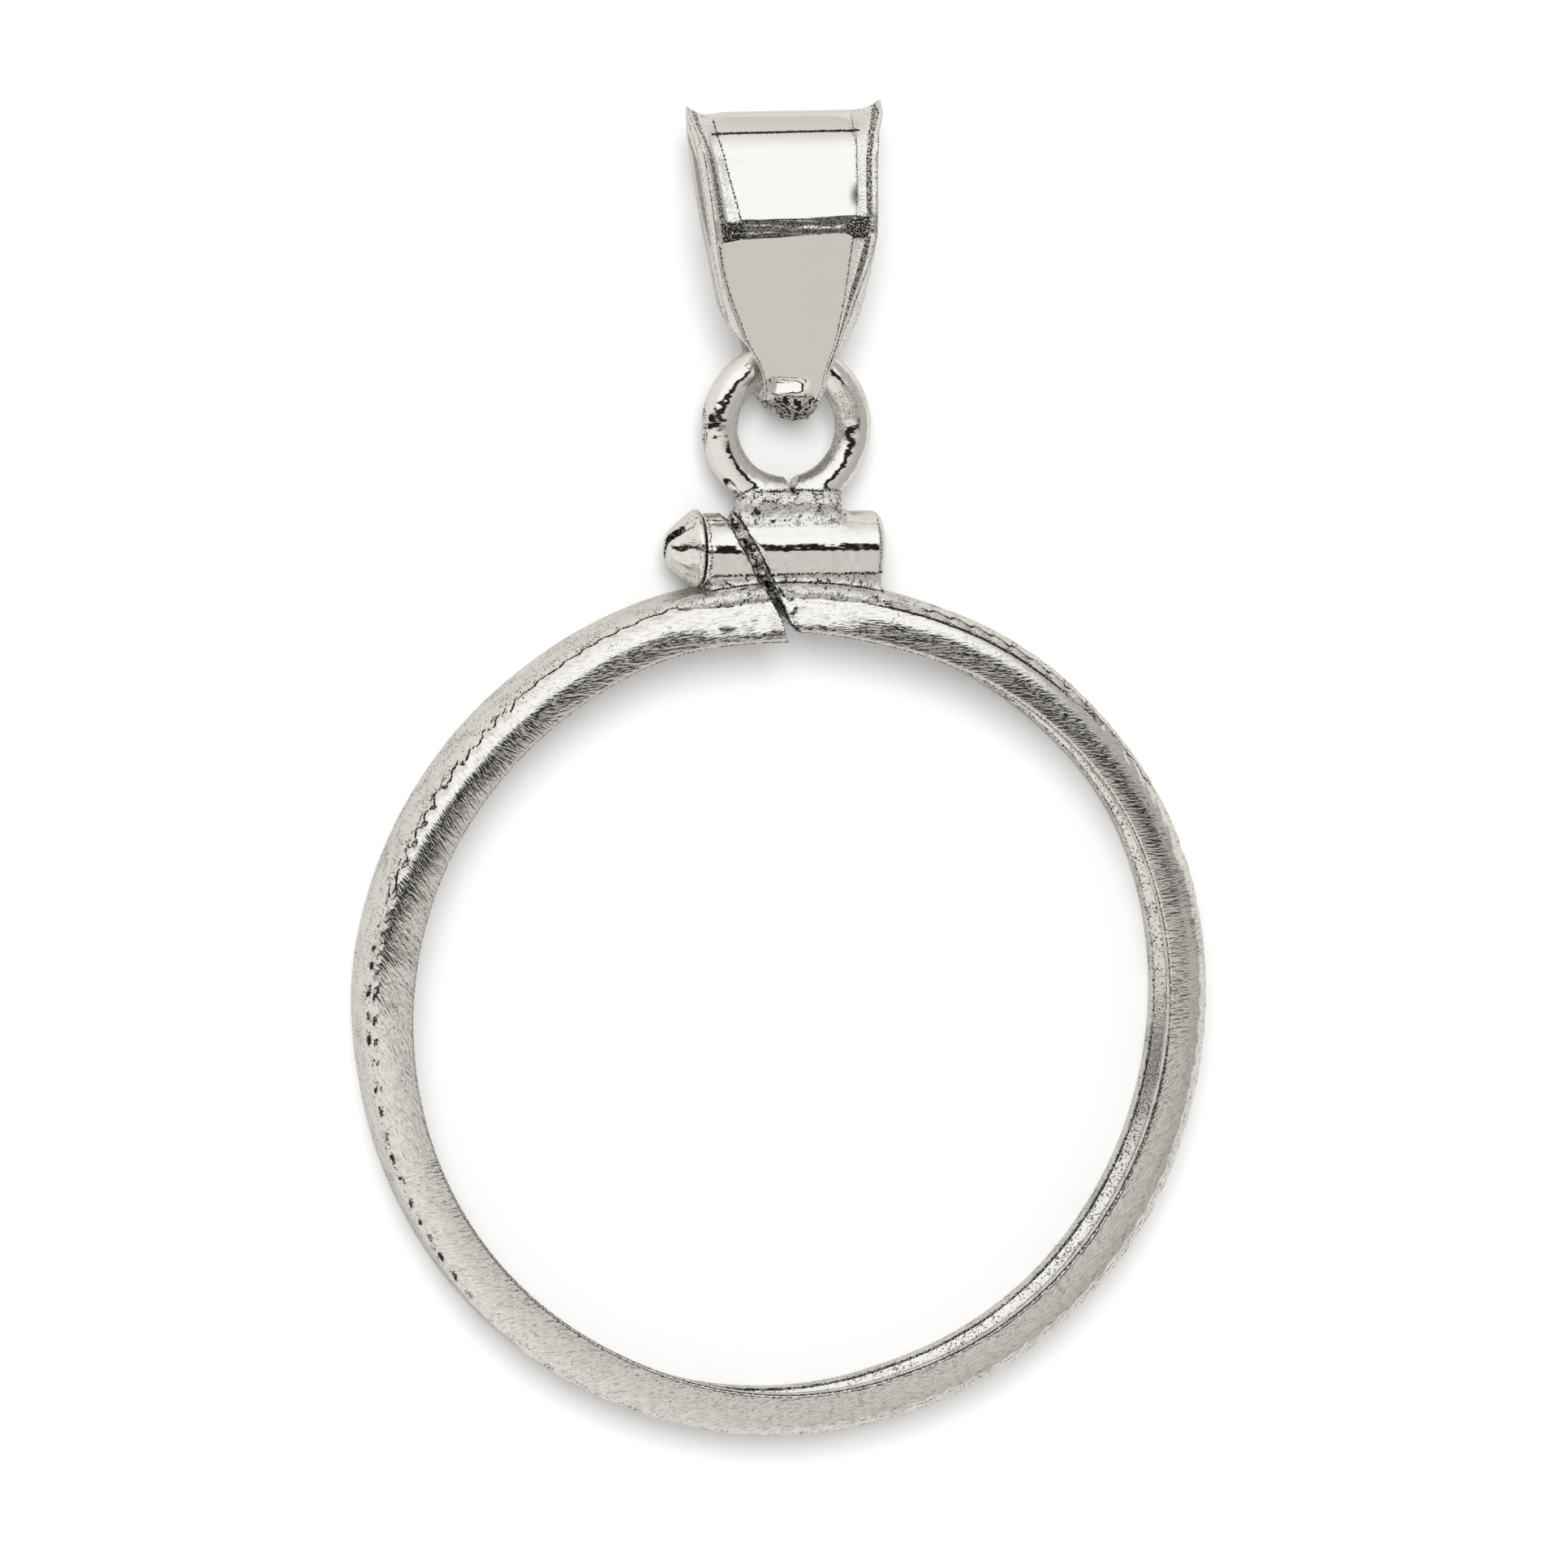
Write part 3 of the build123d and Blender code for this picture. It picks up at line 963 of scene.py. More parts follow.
# Section of the channel ring from the front lip's edge outward: radii, heights below the crown
# on the front face or above the floor elsewhere, region of each run, whether it is the face, and
# the distance past the face's outer edge
def ring_section(ring):
    lip, outer, top = ring.lip_radius, ring.outer_radius, ring.height
    thick, groove = ring.lip_thickness, ring.groove_radius
    low = crown_heights(ring, np.array([ring.bead_outside]), CROWNS["plain"])[0]
    bead = ring.bead_inside - 0.1
    runs = []

    def run(points, region, step, on_face=False):
        points = np.array(points, dtype=float)
        spans = np.linalg.norm(np.diff(points, axis=0), axis=1)
        marks = np.concatenate([[0], np.cumsum(spans)])
        count = max(1, int(round(marks[-1] / step)))
        for spot in np.linspace(0, marks[-1], count, endpoint=False):
            place = [np.interp(spot, marks, points[:, i]) for i in (0, 1)]
            runs.append((*place, region, on_face))

    run([(lip, -0.05), (lip + 0.012, -0.016), (lip + 0.05, 0)], 0, 0.03, True)
    run([(lip + 0.05, 0), (bead, 0)], 0, 0.042, True)
    run([(bead, 0), (ring.bead_outside, 0)], 0, 0.024, True)
    run([(ring.bead_outside, low), (outer - 0.05, low - 0.12), (outer, low - 0.3)], 1, 0.035)
    run([(outer, low - 0.3), (outer, 0.3)], 1, 0.13)
    arc = [(outer - 0.3 + 0.3 * cos(t), 0.3 - 0.3 * sin(t)) for t in np.linspace(0, pi / 2, 7)]
    run(arc, 1, 0.08)
    run([arc[-1], (lip + 0.05, 0), (lip, 0.05)], 1, 0.19)
    run([(lip, 0.05), (lip, thick - 0.06)], 1, 0.1)
    corner = [(lip + 0.14, thick + 0.03), (groove - 0.1, thick + 0.18), (groove, thick + 0.36)]
    run([(lip, thick - 0.06), (lip + 0.06, thick), *corner], 1, 0.08)
    run([(groove, thick + 0.36), (groove, top - thick)], 1, 0.3)
    run([(groove, top - thick), (lip + 0.04, top - thick), (lip, top - thick + 0.05)], 1, 0.14)
    run([(lip, top - thick + 0.05), (lip, top - 0.05)], 1, 0.09)
    table = np.array(runs, dtype=float)
    radii, heights, on_face = table[:, 0], table[:, 1], table[:, 3] > 0.5
    # Distance from the face's outer edge along the section, down the wall when above zero
    past_edge = np.where(on_face, radii - ring.bead_outside, low - heights)
    return radii, heights, table[:, 2].astype(int), on_face, past_edge


# Split barrel, wire eye and solder as one mesh of a field, seated on the ring
def build_barrel_and_eye(bezel):
    groups = (bezel.ring, bezel.cut, bezel.barrel, bezel.eye)
    ring, cut, barrel, eye = (in_millimetres(g) for g in groups)
    middle = ring.height / 2
    circle = eye.hole_radius + eye.wire_radius
    seam_x = eye.off_axis + eye.seam_off_eye
    eye_bottom = eye.centre - eye.hole_radius
    barrel_top = barrel.centre + barrel.radius

    def barrel_field(p):
        x, around = p[:, 0], np.hypot(p[:, 1] - barrel.centre, p[:, 2] - middle)
        round_by = np.where(x > 0, 0.3, 0.07)
        half = (barrel.left + barrel.right) / 2
        past = np.stack([np.abs(x - barrel.right + half) - half, around - barrel.radius], 1)
        return rounded_field(past + round_by[:, None], round_by)

    def eye_field(p):
        across = np.hypot(p[:, 0] - eye.off_axis, p[:, 1] - eye.centre) - circle
        return np.hypot(across, p[:, 2] - middle) - eye.wire_radius

    def ring_field(p):
        turn = np.arctan2(p[:, 0], p[:, 1])
        around = np.hypot(p[:, 0], p[:, 1])
        wall = ring.outer_radius - ring.lip_radius
        depth = np.clip((ring.outer_radius - around) / wall, 0, 1)
        around = around + end_sag(ring, turn) * depth
        past_wall = around - ring.outer_radius + 0.05
        past_faces = np.abs(p[:, 2] - middle) - 1.3
        past = np.stack([past_wall, past_faces], 1) + 0.25
        return np.maximum(rounded_field(past, 0.25), SHOULDER[0] - around)

    def cut_parts(p):
        x, y = p[:, 0] + cut.left_of_axis, p[:, 1] - barrel.centre
        across = x * cos(cut.slant) + y * sin(cut.slant)
        along = y * cos(cut.slant) - x * sin(cut.slant)
        return across, along

    # Solder under the eye
    def foot_field(p):
        return box_field(
            p,
            (eye.off_axis - 1.5, barrel_top - 0.6, middle - 0.72),
            (eye.off_axis + 1.62, barrel_top + 0.55, middle + 0.74),
            0.3,
        )

    def solid(p):
        lump = rough_lumps(p * 1.9, 2, 3) * 0.022
        body = soft_union(barrel_field(p), foot_field(p) + lump, 0.36)
        body = soft_union(body, eye_field(p), 0.3)
        # Solder between the barrel and the ring, and along the ring's wall
        saddle = box_field(
            p,
            (-barrel.left + 0.15, ring.outer_radius - 0.4, middle - 0.86),
            (barrel.right - 0.1, barrel.centre - 0.4, middle + 0.86),
            0.12,
        )
        saddle = soft_union(saddle + lump, ring_field(p), 0.3)
        return soft_union(body, saddle, 0.12)

    def field(p):
        body = solid(p)
        across, along = cut_parts(p)
        ragged = rough_lumps(p * 5.0, 2, 7) * 0.07
        # A narrow gap with torn, sloping lips
        lips = np.abs(across) - cut.width * 0.76 - 0.8 * np.minimum(body, 0.1) + ragged
        kerf = np.minimum(np.abs(across) - 0.03 + 0.5 * ragged, 0.8 * lips)
        body = soft_cut(body, np.maximum(kerf, along - cut.above_axis), 0.03)
        # The open seam of the eye, a notch that widens upward
        notch = np.maximum(
            np.abs(p[:, 0] - seam_x) - 0.04 - 0.45 * np.maximum(p[:, 1] - eye_bottom + 0.32, 0),
            eye_bottom - 0.42 - p[:, 1],
        )
        notch = np.maximum(notch, p[:, 1] - eye_bottom - 0.6)
        body = soft_cut(body, notch + ragged * 0.7, 0.06)
        bore = np.maximum(
            np.hypot(p[:, 1] - barrel.centre, p[:, 2] - middle) - barrel.bore_radius,
            p[:, 0] - barrel.bore_end,
        )
        return soft_cut(body, bore, 0.02)

    # The grid keeps inside the ring's wall below, and inside its faces in front and behind
    low = (-3.5, 12.3, 0.15)
    high = (3.5, eye.centre + circle + eye.wire_radius + 0.15, ring.height - 0.15)
    points, quads = net_of_field(field, low, high, NET_STEP)
    points, normals = settle(field, points)
    # Sandy solder, swells in the drawn metal and wandering creases along the wire
    bare = np.minimum(barrel_field(points), eye_field(points))
    solder = smooth_step(0.012, 0.07, bare)
    across, along = cut_parts(points)
    torn = np.where(along < cut.above_axis + 0.1, bell(across, cut.width * 0.8, 4), 0)
    grains = rough_lumps(points * 9, 2, 17)
    swell = rough_lumps(points * 1.6, 2, 19)
    on_wire = smooth_step(0.04, 0.01, eye_field(points))
    on_barrel = smooth_step(0.03, 0.01, barrel_field(points)) * (1 - solder)
    crawl = rough_lumps(points * 5.5, 2, 21) * np.maximum(on_wire, 1.3 * on_barrel)
    # The inner side of the wire and its upper right stay rough from the casting
    inner = np.hypot(points[:, 0] - eye.off_axis, points[:, 1] - eye.centre) - circle
    cast = smooth_step(-0.28, -0.42, inner)
    corner = np.hypot(points[:, 0] - eye.off_axis - 1.85, points[:, 1] - eye.centre - 0.75)
    cast = np.maximum(cast, smooth_step(0.75, 0.35, corner)) * on_wire
    rough = np.maximum(solder, torn)
    shift = 0.013 * grains * rough + 0.006 * swell + 0.006 * crawl - 0.006
    shift = shift + 0.012 * grains * torn + 0.004 * grains * cast
    # A narrow flat is worn along the front of the barrel
    off_flat = (points[:, 1] - barrel.centre - 0.12) / 0.1
    flat = np.maximum(1 - off_flat**2, 0) * on_barrel * (points[:, 2] > middle)
    shift = shift - 0.0045 * flat
    rough = np.maximum(rough, 0.8 * cast)
    points = points + normals * shift[:, None]
    metals = [silver("soldered_silver", bezel.finish)]
    piece = add_piece("barrel_and_eye", points, quads, "bezel", "bezel_silver", metals)
    # Dark lines of painted shade in both lips of the cut, in the creases under and above the
    # barrel, at the barrel's ends and where solder meets metal; the seam in the eye and the grains
    # of solder, torn metal and cast wire are real dark marks
    x, y = points[:, 0], points[:, 1]
    at_cut = bell(np.abs(across) - cut.width * 0.7, 0.045) * (along < cut.above_axis + 0.1)
    at_seam = bell(x - seam_x, 0.12) * (np.abs(y - eye_bottom + 0.1) < 0.45)
    under = bell(barrel_field(points) - 0.035, 0.028) * (y < barrel.centre)
    above = bell(barrel_field(points) - 0.05, 0.03) * (y > barrel.centre) * (x < -1.2)
    wire_foot = bell(eye_field(points) - 0.03, 0.03) * (y < eye_bottom + 0.1)
    reach = np.hypot(x, y)
    at_ring = bell(reach - ring.outer_radius - 0.03, 0.045)
    below_ring = bell(reach - ring.outer_radius + 0.42, 0.04)
    at_end = bell(x - barrel.right + 0.2, 0.06) * (solder < 0.5)
    at_split = bell(x + barrel.left - 0.12, 0.1) * (solder < 0.5)
    grime = np.maximum.reduce(
        [
            0.72 * at_cut,
            0.7 * torn * smooth_step(-0.15, 0.2, grains),
            0.55 * solder * smooth_step(0.22, 0.42, grains),
            0.6 * at_seam,
            0.62 * under,
            0.4 * above,
            0.6 * wire_foot,
            0.68 * at_ring,
            0.56 * below_ring,
            0.54 * at_end,
            0.5 * at_split,
            0.34 * cast,
        ]
    )
    add_mark(piece, "grime", grime)
    add_mark(piece, "solder", rough)


# Thread of the screw's shank
THREAD_PITCH = 0.36
THREAD_DEPTH = 0.05


# Closing screw as a mesh of a field, with the thread that the barrel hides at rest
def build_closing_screw(bezel):
    ring, barrel, screw = (in_millimetres(g) for g in (bezel.ring, bezel.barrel, bezel.screw))
    middle = ring.height / 2
    seat = -barrel.left - screw.head_gap
    apex = seat - screw.head_height
    # Height of the head's rim, radius of its blunt tip, slope of its cone and its lift
    rim, tip, lift = 0.16, 0.5, 0.05
    flank = (screw.head_radius - tip) / (screw.head_height - rim - 0.04)

    # How deep in the thread a point of the shank lies, from its crests at 0 to its roots at 1
    def thread_root(p):
        about = np.arctan2(p[:, 2] - middle, p[:, 1] - barrel.centre)
        wave = 0.5 - 0.5 * np.cos(tau * p[:, 0] / THREAD_PITCH - about)
        return smooth_step(seat + 0.4, seat + 0.7, p[:, 0]) * wave

    def field(p):
        y, z = p[:, 1] - barrel.centre, p[:, 2] - middle
        around = np.hypot(y, z)
        # The head is a blunt cone on a short rim, and sits a little high
        high = np.hypot(y - lift * (p[:, 0] < seat + 0.02), z)
        cone = (high - tip - flank * (p[:, 0] - apex - 0.04)) / hypot(1, flank)
        head = soft_cut(cone, p[:, 0] - apex, 0.2)
        head = soft_cut(head, screw.head_radius - high, 0.05)
        head = soft_cut(head, seat - p[:, 0], 0.06)
        half = (screw.shank_end - seat) / 2
        past_ends = np.abs(p[:, 0] - (seat + screw.shank_end) / 2) - half
        past_side = around - screw.shank_radius + THREAD_DEPTH * thread_root(p)
        body = soft_union(head, np.maximum(past_side, past_ends), 0.03)
        across = -y * sin(screw.slot_turn) + z * cos(screw.slot_turn)
        past_slot = np.abs(across) - screw.slot_width / 2
        slot = np.maximum(past_slot, p[:, 0] - apex - screw.slot_depth)
        return soft_cut(body, slot + rough_lumps(p * 3.5, 2, 5) * 0.025, 0.04)

    reach = screw.head_radius + 0.12
    low = (apex - 0.12, barrel.centre - reach, middle - reach)
    high = (screw.shank_end + 0.12, barrel.centre + reach, middle + reach)
    points, quads = net_of_field(field, low, high, NET_STEP)
    points, normals = settle(field, points)
    dents = rough_lumps(points * 1.7, 3, 41)
    on_head = smooth_step(seat - 0.02, seat - 0.1, points[:, 0])
    points = points + normals * ((0.022 * dents - 0.012) * on_head)[:, None]
    metals = [silver("screw_silver", bezel.finish)]
    piece = add_piece("closing_screw", points, quads, "screw", "screw_silver", metals)
    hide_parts("screw")
    # Dark lines of painted shade along the slot's edges, at the head's rim, where the head meets
    # the barrel and in the thread's roots
    y, z = points[:, 1] - barrel.centre, points[:, 2] - middle
    across = np.abs(-y * sin(screw.slot_turn) + z * cos(screw.slot_turn))
    slot_edge = bell(across - screw.slot_width / 2, 0.05) * (points[:, 0] < seat - 0.15)
    at_rim = bell(points[:, 0] - seat + rim, 0.05) * (np.hypot(y, z) > 0.9)
    at_seat = bell(points[:, 0] - seat, 0.06)
    in_thread = smooth_step(0.6, 1.0, thread_root(points)) * (points[:, 0] > seat)
    marks = [0.62 * slot_edge, 0.42 * at_rim, 0.6 * at_seat, 0.5 * in_thread]
    add_mark(piece, "grime", np.maximum.reduce(marks))


# Widths of the bail's two leaves as shares of its top width, at heights as shares of its length
BAIL_ROWS = (
    # height, front, back, front plate, back plate
    (-0.03, 0.330, 0.29, 0.290, 0.26),
    (0.110, 0.370, 0.30, 0.315, 0.26),
    (0.175, 0.420, 0.34, 0.345, 0.29),
    (0.235, 0.540, 0.42, 0.420, 0.33),
    (0.285, 0.630, 0.48, 0.470, 0.38),
    (0.350, 0.725, 0.54, 0.520, 0.42),
    (0.456, 0.820, 0.60, 0.620, 0.47),
    (0.618, 0.915, 0.71, 0.730, 0.56),
    (0.728, 0.946, 0.79, 0.760, 0.62),
    (0.860, 0.985, 0.88, 0.80, 0.70),
    (0.938, 1.020, 0.93, 0.82, 0.74),
    (1.010, 1.050, 0.96, 0.83, 0.77),
    (1.060, 1.065, 0.97, 0.83, 0.77),
)

# Distance between the stations along the bail's strip
STRIP_STEP = 0.042

# Extra width of the lower facet on its left: heights above the pivot and widths, in millimetres
BAIL_SPREAD = (
    (-0.4, 0.2, 0.6, 0.9, 1.95, 2.6, 3.8, 4.4),
    (0, 0, 0.1, 0.17, 0.26, 0.25, 0.17, 0.15),
)


# Values at some places of the smooth curve through a table's knots
def curve_through(knots, values, at):
    knots, values = np.asarray(knots), np.asarray(values)
    slopes = np.gradient(values, knots)
    spot = np.clip(np.searchsorted(knots, at) - 1, 0, len(knots) - 2)
    run = knots[spot + 1] - knots[spot]
    t = np.clip((at - knots[spot]) / run, 0, 1)
    a, b = values[spot], values[spot + 1]
    return (
        a * (2 * t**3 - 3 * t**2 + 1)
        + b * (3 * t**2 - 2 * t**3)
        + run * (slopes[spot] * (t**3 - 2 * t**2 + t) + slopes[spot + 1] * (t**3 - t**2))
    )


# Point on the way from one place to another, moved by a little
def on_line(first, second, part, move_h=0.0, move_d=0.0):
    h = first[0] + (second[0] - first[0]) * part + move_h
    return h, first[1] + (second[1] - first[1]) * part + move_d


Profile = namedtuple("Profile", "line normals rise marks bottom top crease fold")


# Closed side profile of the bail's strip: points, outward normals, height of the rims, distances
# along the strip, and the heights of the tip, the top, the crease and the fold
def bail_profile(bail, step):
    tip = bail.wire_room + bail.wall
    bottom = -bail.drop - tip
    top = bottom + bail.long - bail.rim_rise_at_top + bail.top_stretch
    crease = bottom + bail.crease_height
    half_band = bail.crease_band / 2
    lower = (crease - half_band, bail.crease_depth)
    upper = (crease + half_band, bail.crease_depth - bail.crease_band * np.tan(bail.crease_lean))
    fold = (top - bail.fold_below_top, bail.fold_depth)
    bend = (fold[0] - bail.bend_below_fold, bail.bend_depth)
    points = [(-bail.drop - tip * cos(t), tip * sin(t)) for t in np.linspace(0, pi / 2, 28)]
    # Lower facet, upper facet, the bend into the fold, and the bevel along the top
    round_end = points[-1]
    for t in np.linspace(0, 1, 20):
        points.append(on_line(round_end, lower, t, move_d=0.03 * sin(pi * t)))
    for t in np.linspace(0, 1, 16):
        points.append(on_line(upper, bend, t, move_d=-bail.facet_hollow * 4 * t * (1 - t)))
    start = (bend[1] - upper[1]) / (bend[0] - upper[0]) * bail.bend_below_fold
    for t in np.linspace(0, 1, 12)[1:]:
        fall = start * t + (fold[1] - bend[1] - start) * t**2
        points.append((bend[0] + bail.bend_below_fold * t, bend[1] + fall))
    brow = (top - 0.055, 0.1)
    for t in np.linspace(0, 1, 12)[1:]:
        points.append(on_line(fold, brow, t, move_h=0.015 * sin(pi * t)))
    points += [(top - 0.055 * (1 - sin(t)), 0.1 * cos(t)) for t in np.linspace(0, pi / 2, 8)[1:]]
    front = np.array(points)
    loop = np.concatenate([front, front[-2:0:-1] * (1, -1)])
    closed = np.concatenate([loop, loop[:1]])
    spans = np.linalg.norm(np.diff(closed, axis=0), axis=1)
    closed = closed[np.concatenate([[True], spans > 1e-5])]
    marks = np.concatenate([[0], np.cumsum(np.linalg.norm(np.diff(closed, axis=0), axis=1))])
    count = int(round(marks[-1] / step))
    spots = np.linspace(0, marks[-1], count, endpoint=False)
    spaced = np.stack([np.interp(spots, marks, closed[:, i]) for i in (0, 1)], 1)
    ahead = np.roll(spaced, -1, axis=0) - np.roll(spaced, 1, axis=0)
    ahead /= np.linalg.norm(ahead, axis=1)[:, None]
    normals = np.stack([-ahead[:, 1], ahead[:, 0]], 1)
    # Normals for the offsets of walls and rims turn slowly, so that thick corners stay clean
    for _ in range(6):
        normals = (np.roll(normals, 1, axis=0) + 2 * normals + np.roll(normals, -1, axis=0)) / 4
    normals /= np.linalg.norm(normals, axis=1)[:, None]
    below = np.clip((spaced[:, 0] - bottom) / bail.crease_height, 0, 1)
    above = np.clip((spaced[:, 0] - crease) / (top - crease), 0, 1)
    # The rear rims, which lie on the surface, rise evenly from the tip
    rise = np.where(spaced[:, 1] > 0, smooth_step(0.0, 1.0, below * 1.15), below)
    rise = rise * bail.rim_rise_at_crease + (bail.rim_rise_at_top - bail.rim_rise_at_crease) * above
    return Profile(spaced, normals, rise, spots, bottom, top, crease, fold[0])


# Lines along the bail's strip, from its left wall over the outside and back through the inside:
# the part it lies on, its share of that part's width, and its side, -1 or 1
def bail_columns():
    half = [("plate", s) for s in np.linspace(0, 1, 13)[1:]]
    half += [("slope", s) for s in np.linspace(0, 1, 10)[1:]]
    half += [("rim", s) for s in (0.45, 1.0)]
    half += [("wall", s) for s in (0.12, 0.3, 0.5, 0.7, 0.88, 1.0)]
    columns = [(kind, s, -1) for kind, s in half[::-1]] + [("plate", 0.0, 1)]
    columns += [(kind, s, 1) for kind, s in half]
    return columns + [("inside", s, 1) for s in np.linspace(1, -1, 15)[1:-1]]


# Half widths at each station of the strip: of its plate on the left and on the right, over its
# rims and inside, and whether the station is on the upper facet
def bail_widths(bail, profile):
    line, normals, rise, _, bottom, _, crease, fold = profile
    table = np.array(BAIL_ROWS)
    loft_depth = bail.crease_depth + bail.rim_rise_at_crease + bail.wall

    def half_widths(h, d, front, back):
        at = (h - bottom) / bail.long
        near = curve_through(table[:, 0], table[:, front], at)
        far = curve_through(table[:, 0], table[:, back], at)
        part = (d + loft_depth) / (2 * loft_depth)
        return (far + (near - far) * part) * bail.wide / 2

    h0, d0 = line[:, 0], line[:, 1]
    # Above the crease the front plate narrows downward, most on its left side
    on_upper = smooth_step(crease - 0.4, crease - 0.24, h0) * (d0 > 0)
    climb = np.clip((h0 - crease + 0.3) / (fold - crease + 0.3), 0, 1)
    plate = half_widths(h0, d0, 3, 4)
    plate_left = plate + on_upper * (1.5 + 0.62 * climb - plate)
    flare = 0.3 * smooth_step(0.08, 0.2, climb)
    plate_right = plate + on_upper * (1.6 + flare + 0.16 * climb - plate)
    # The lower facet is wider on its left
    on_lower = smooth_step(crease - 3.2, crease - 0.5, h0) * (h0 < crease)
    on_lower = on_lower * (d0 > 0) * (1 - on_upper)
    spread = np.interp(h0, *BAIL_SPREAD) * (d0 > 0) * (1 - on_upper)
    plate_left = plate_left + 0.16 * on_lower + spread
    plate_right = plate_right - 0.2 * on_lower
    strip = half_widths(h0 + normals[:, 0] * rise, d0 + normals[:, 1] * rise, 1, 2)
    # The rounded tip is narrower below
    round_off = np.sqrt(1 - 0.62 * smooth_step(-1.0, bottom + 0.02, h0) ** 2 * (h0 < -0.5))
    strip = np.maximum(strip, plate + 0.1) * round_off
    plate_left, plate_right = plate_left * round_off, plate_right * round_off
    inner_h, inner_d = h0 - normals[:, 0] * bail.wall, d0 - normals[:, 1] * bail.wall
    inner = half_widths(inner_h, inner_d, 1, 2) * round_off - 0.02
    return plate_left, plate_right, strip, inner, on_upper


# Places of points on the bail once it lies on the surface beside the ring
def lay_bail(ring, bail, flat):
    x_dir = np.array([cos(bail.turn), sin(bail.turn), 0])
    level = cos(bail.lean)
    y_dir = np.array([-sin(bail.turn) * level, cos(bail.turn) * level, sin(bail.lean)])
    z_dir = np.cross(x_dir, y_dir)
    origin = np.array([bail.off_axis, bail.pivot, ring.height / 2])
    world = origin + flat[:, :1] * x_dir + flat[:, 1:2] * y_dir + flat[:, 2:] * z_dir
    # The rear rims are worn flat where they lie on the surface
    world[:, 2] = np.maximum(world[:, 2], 0.008)
    return world


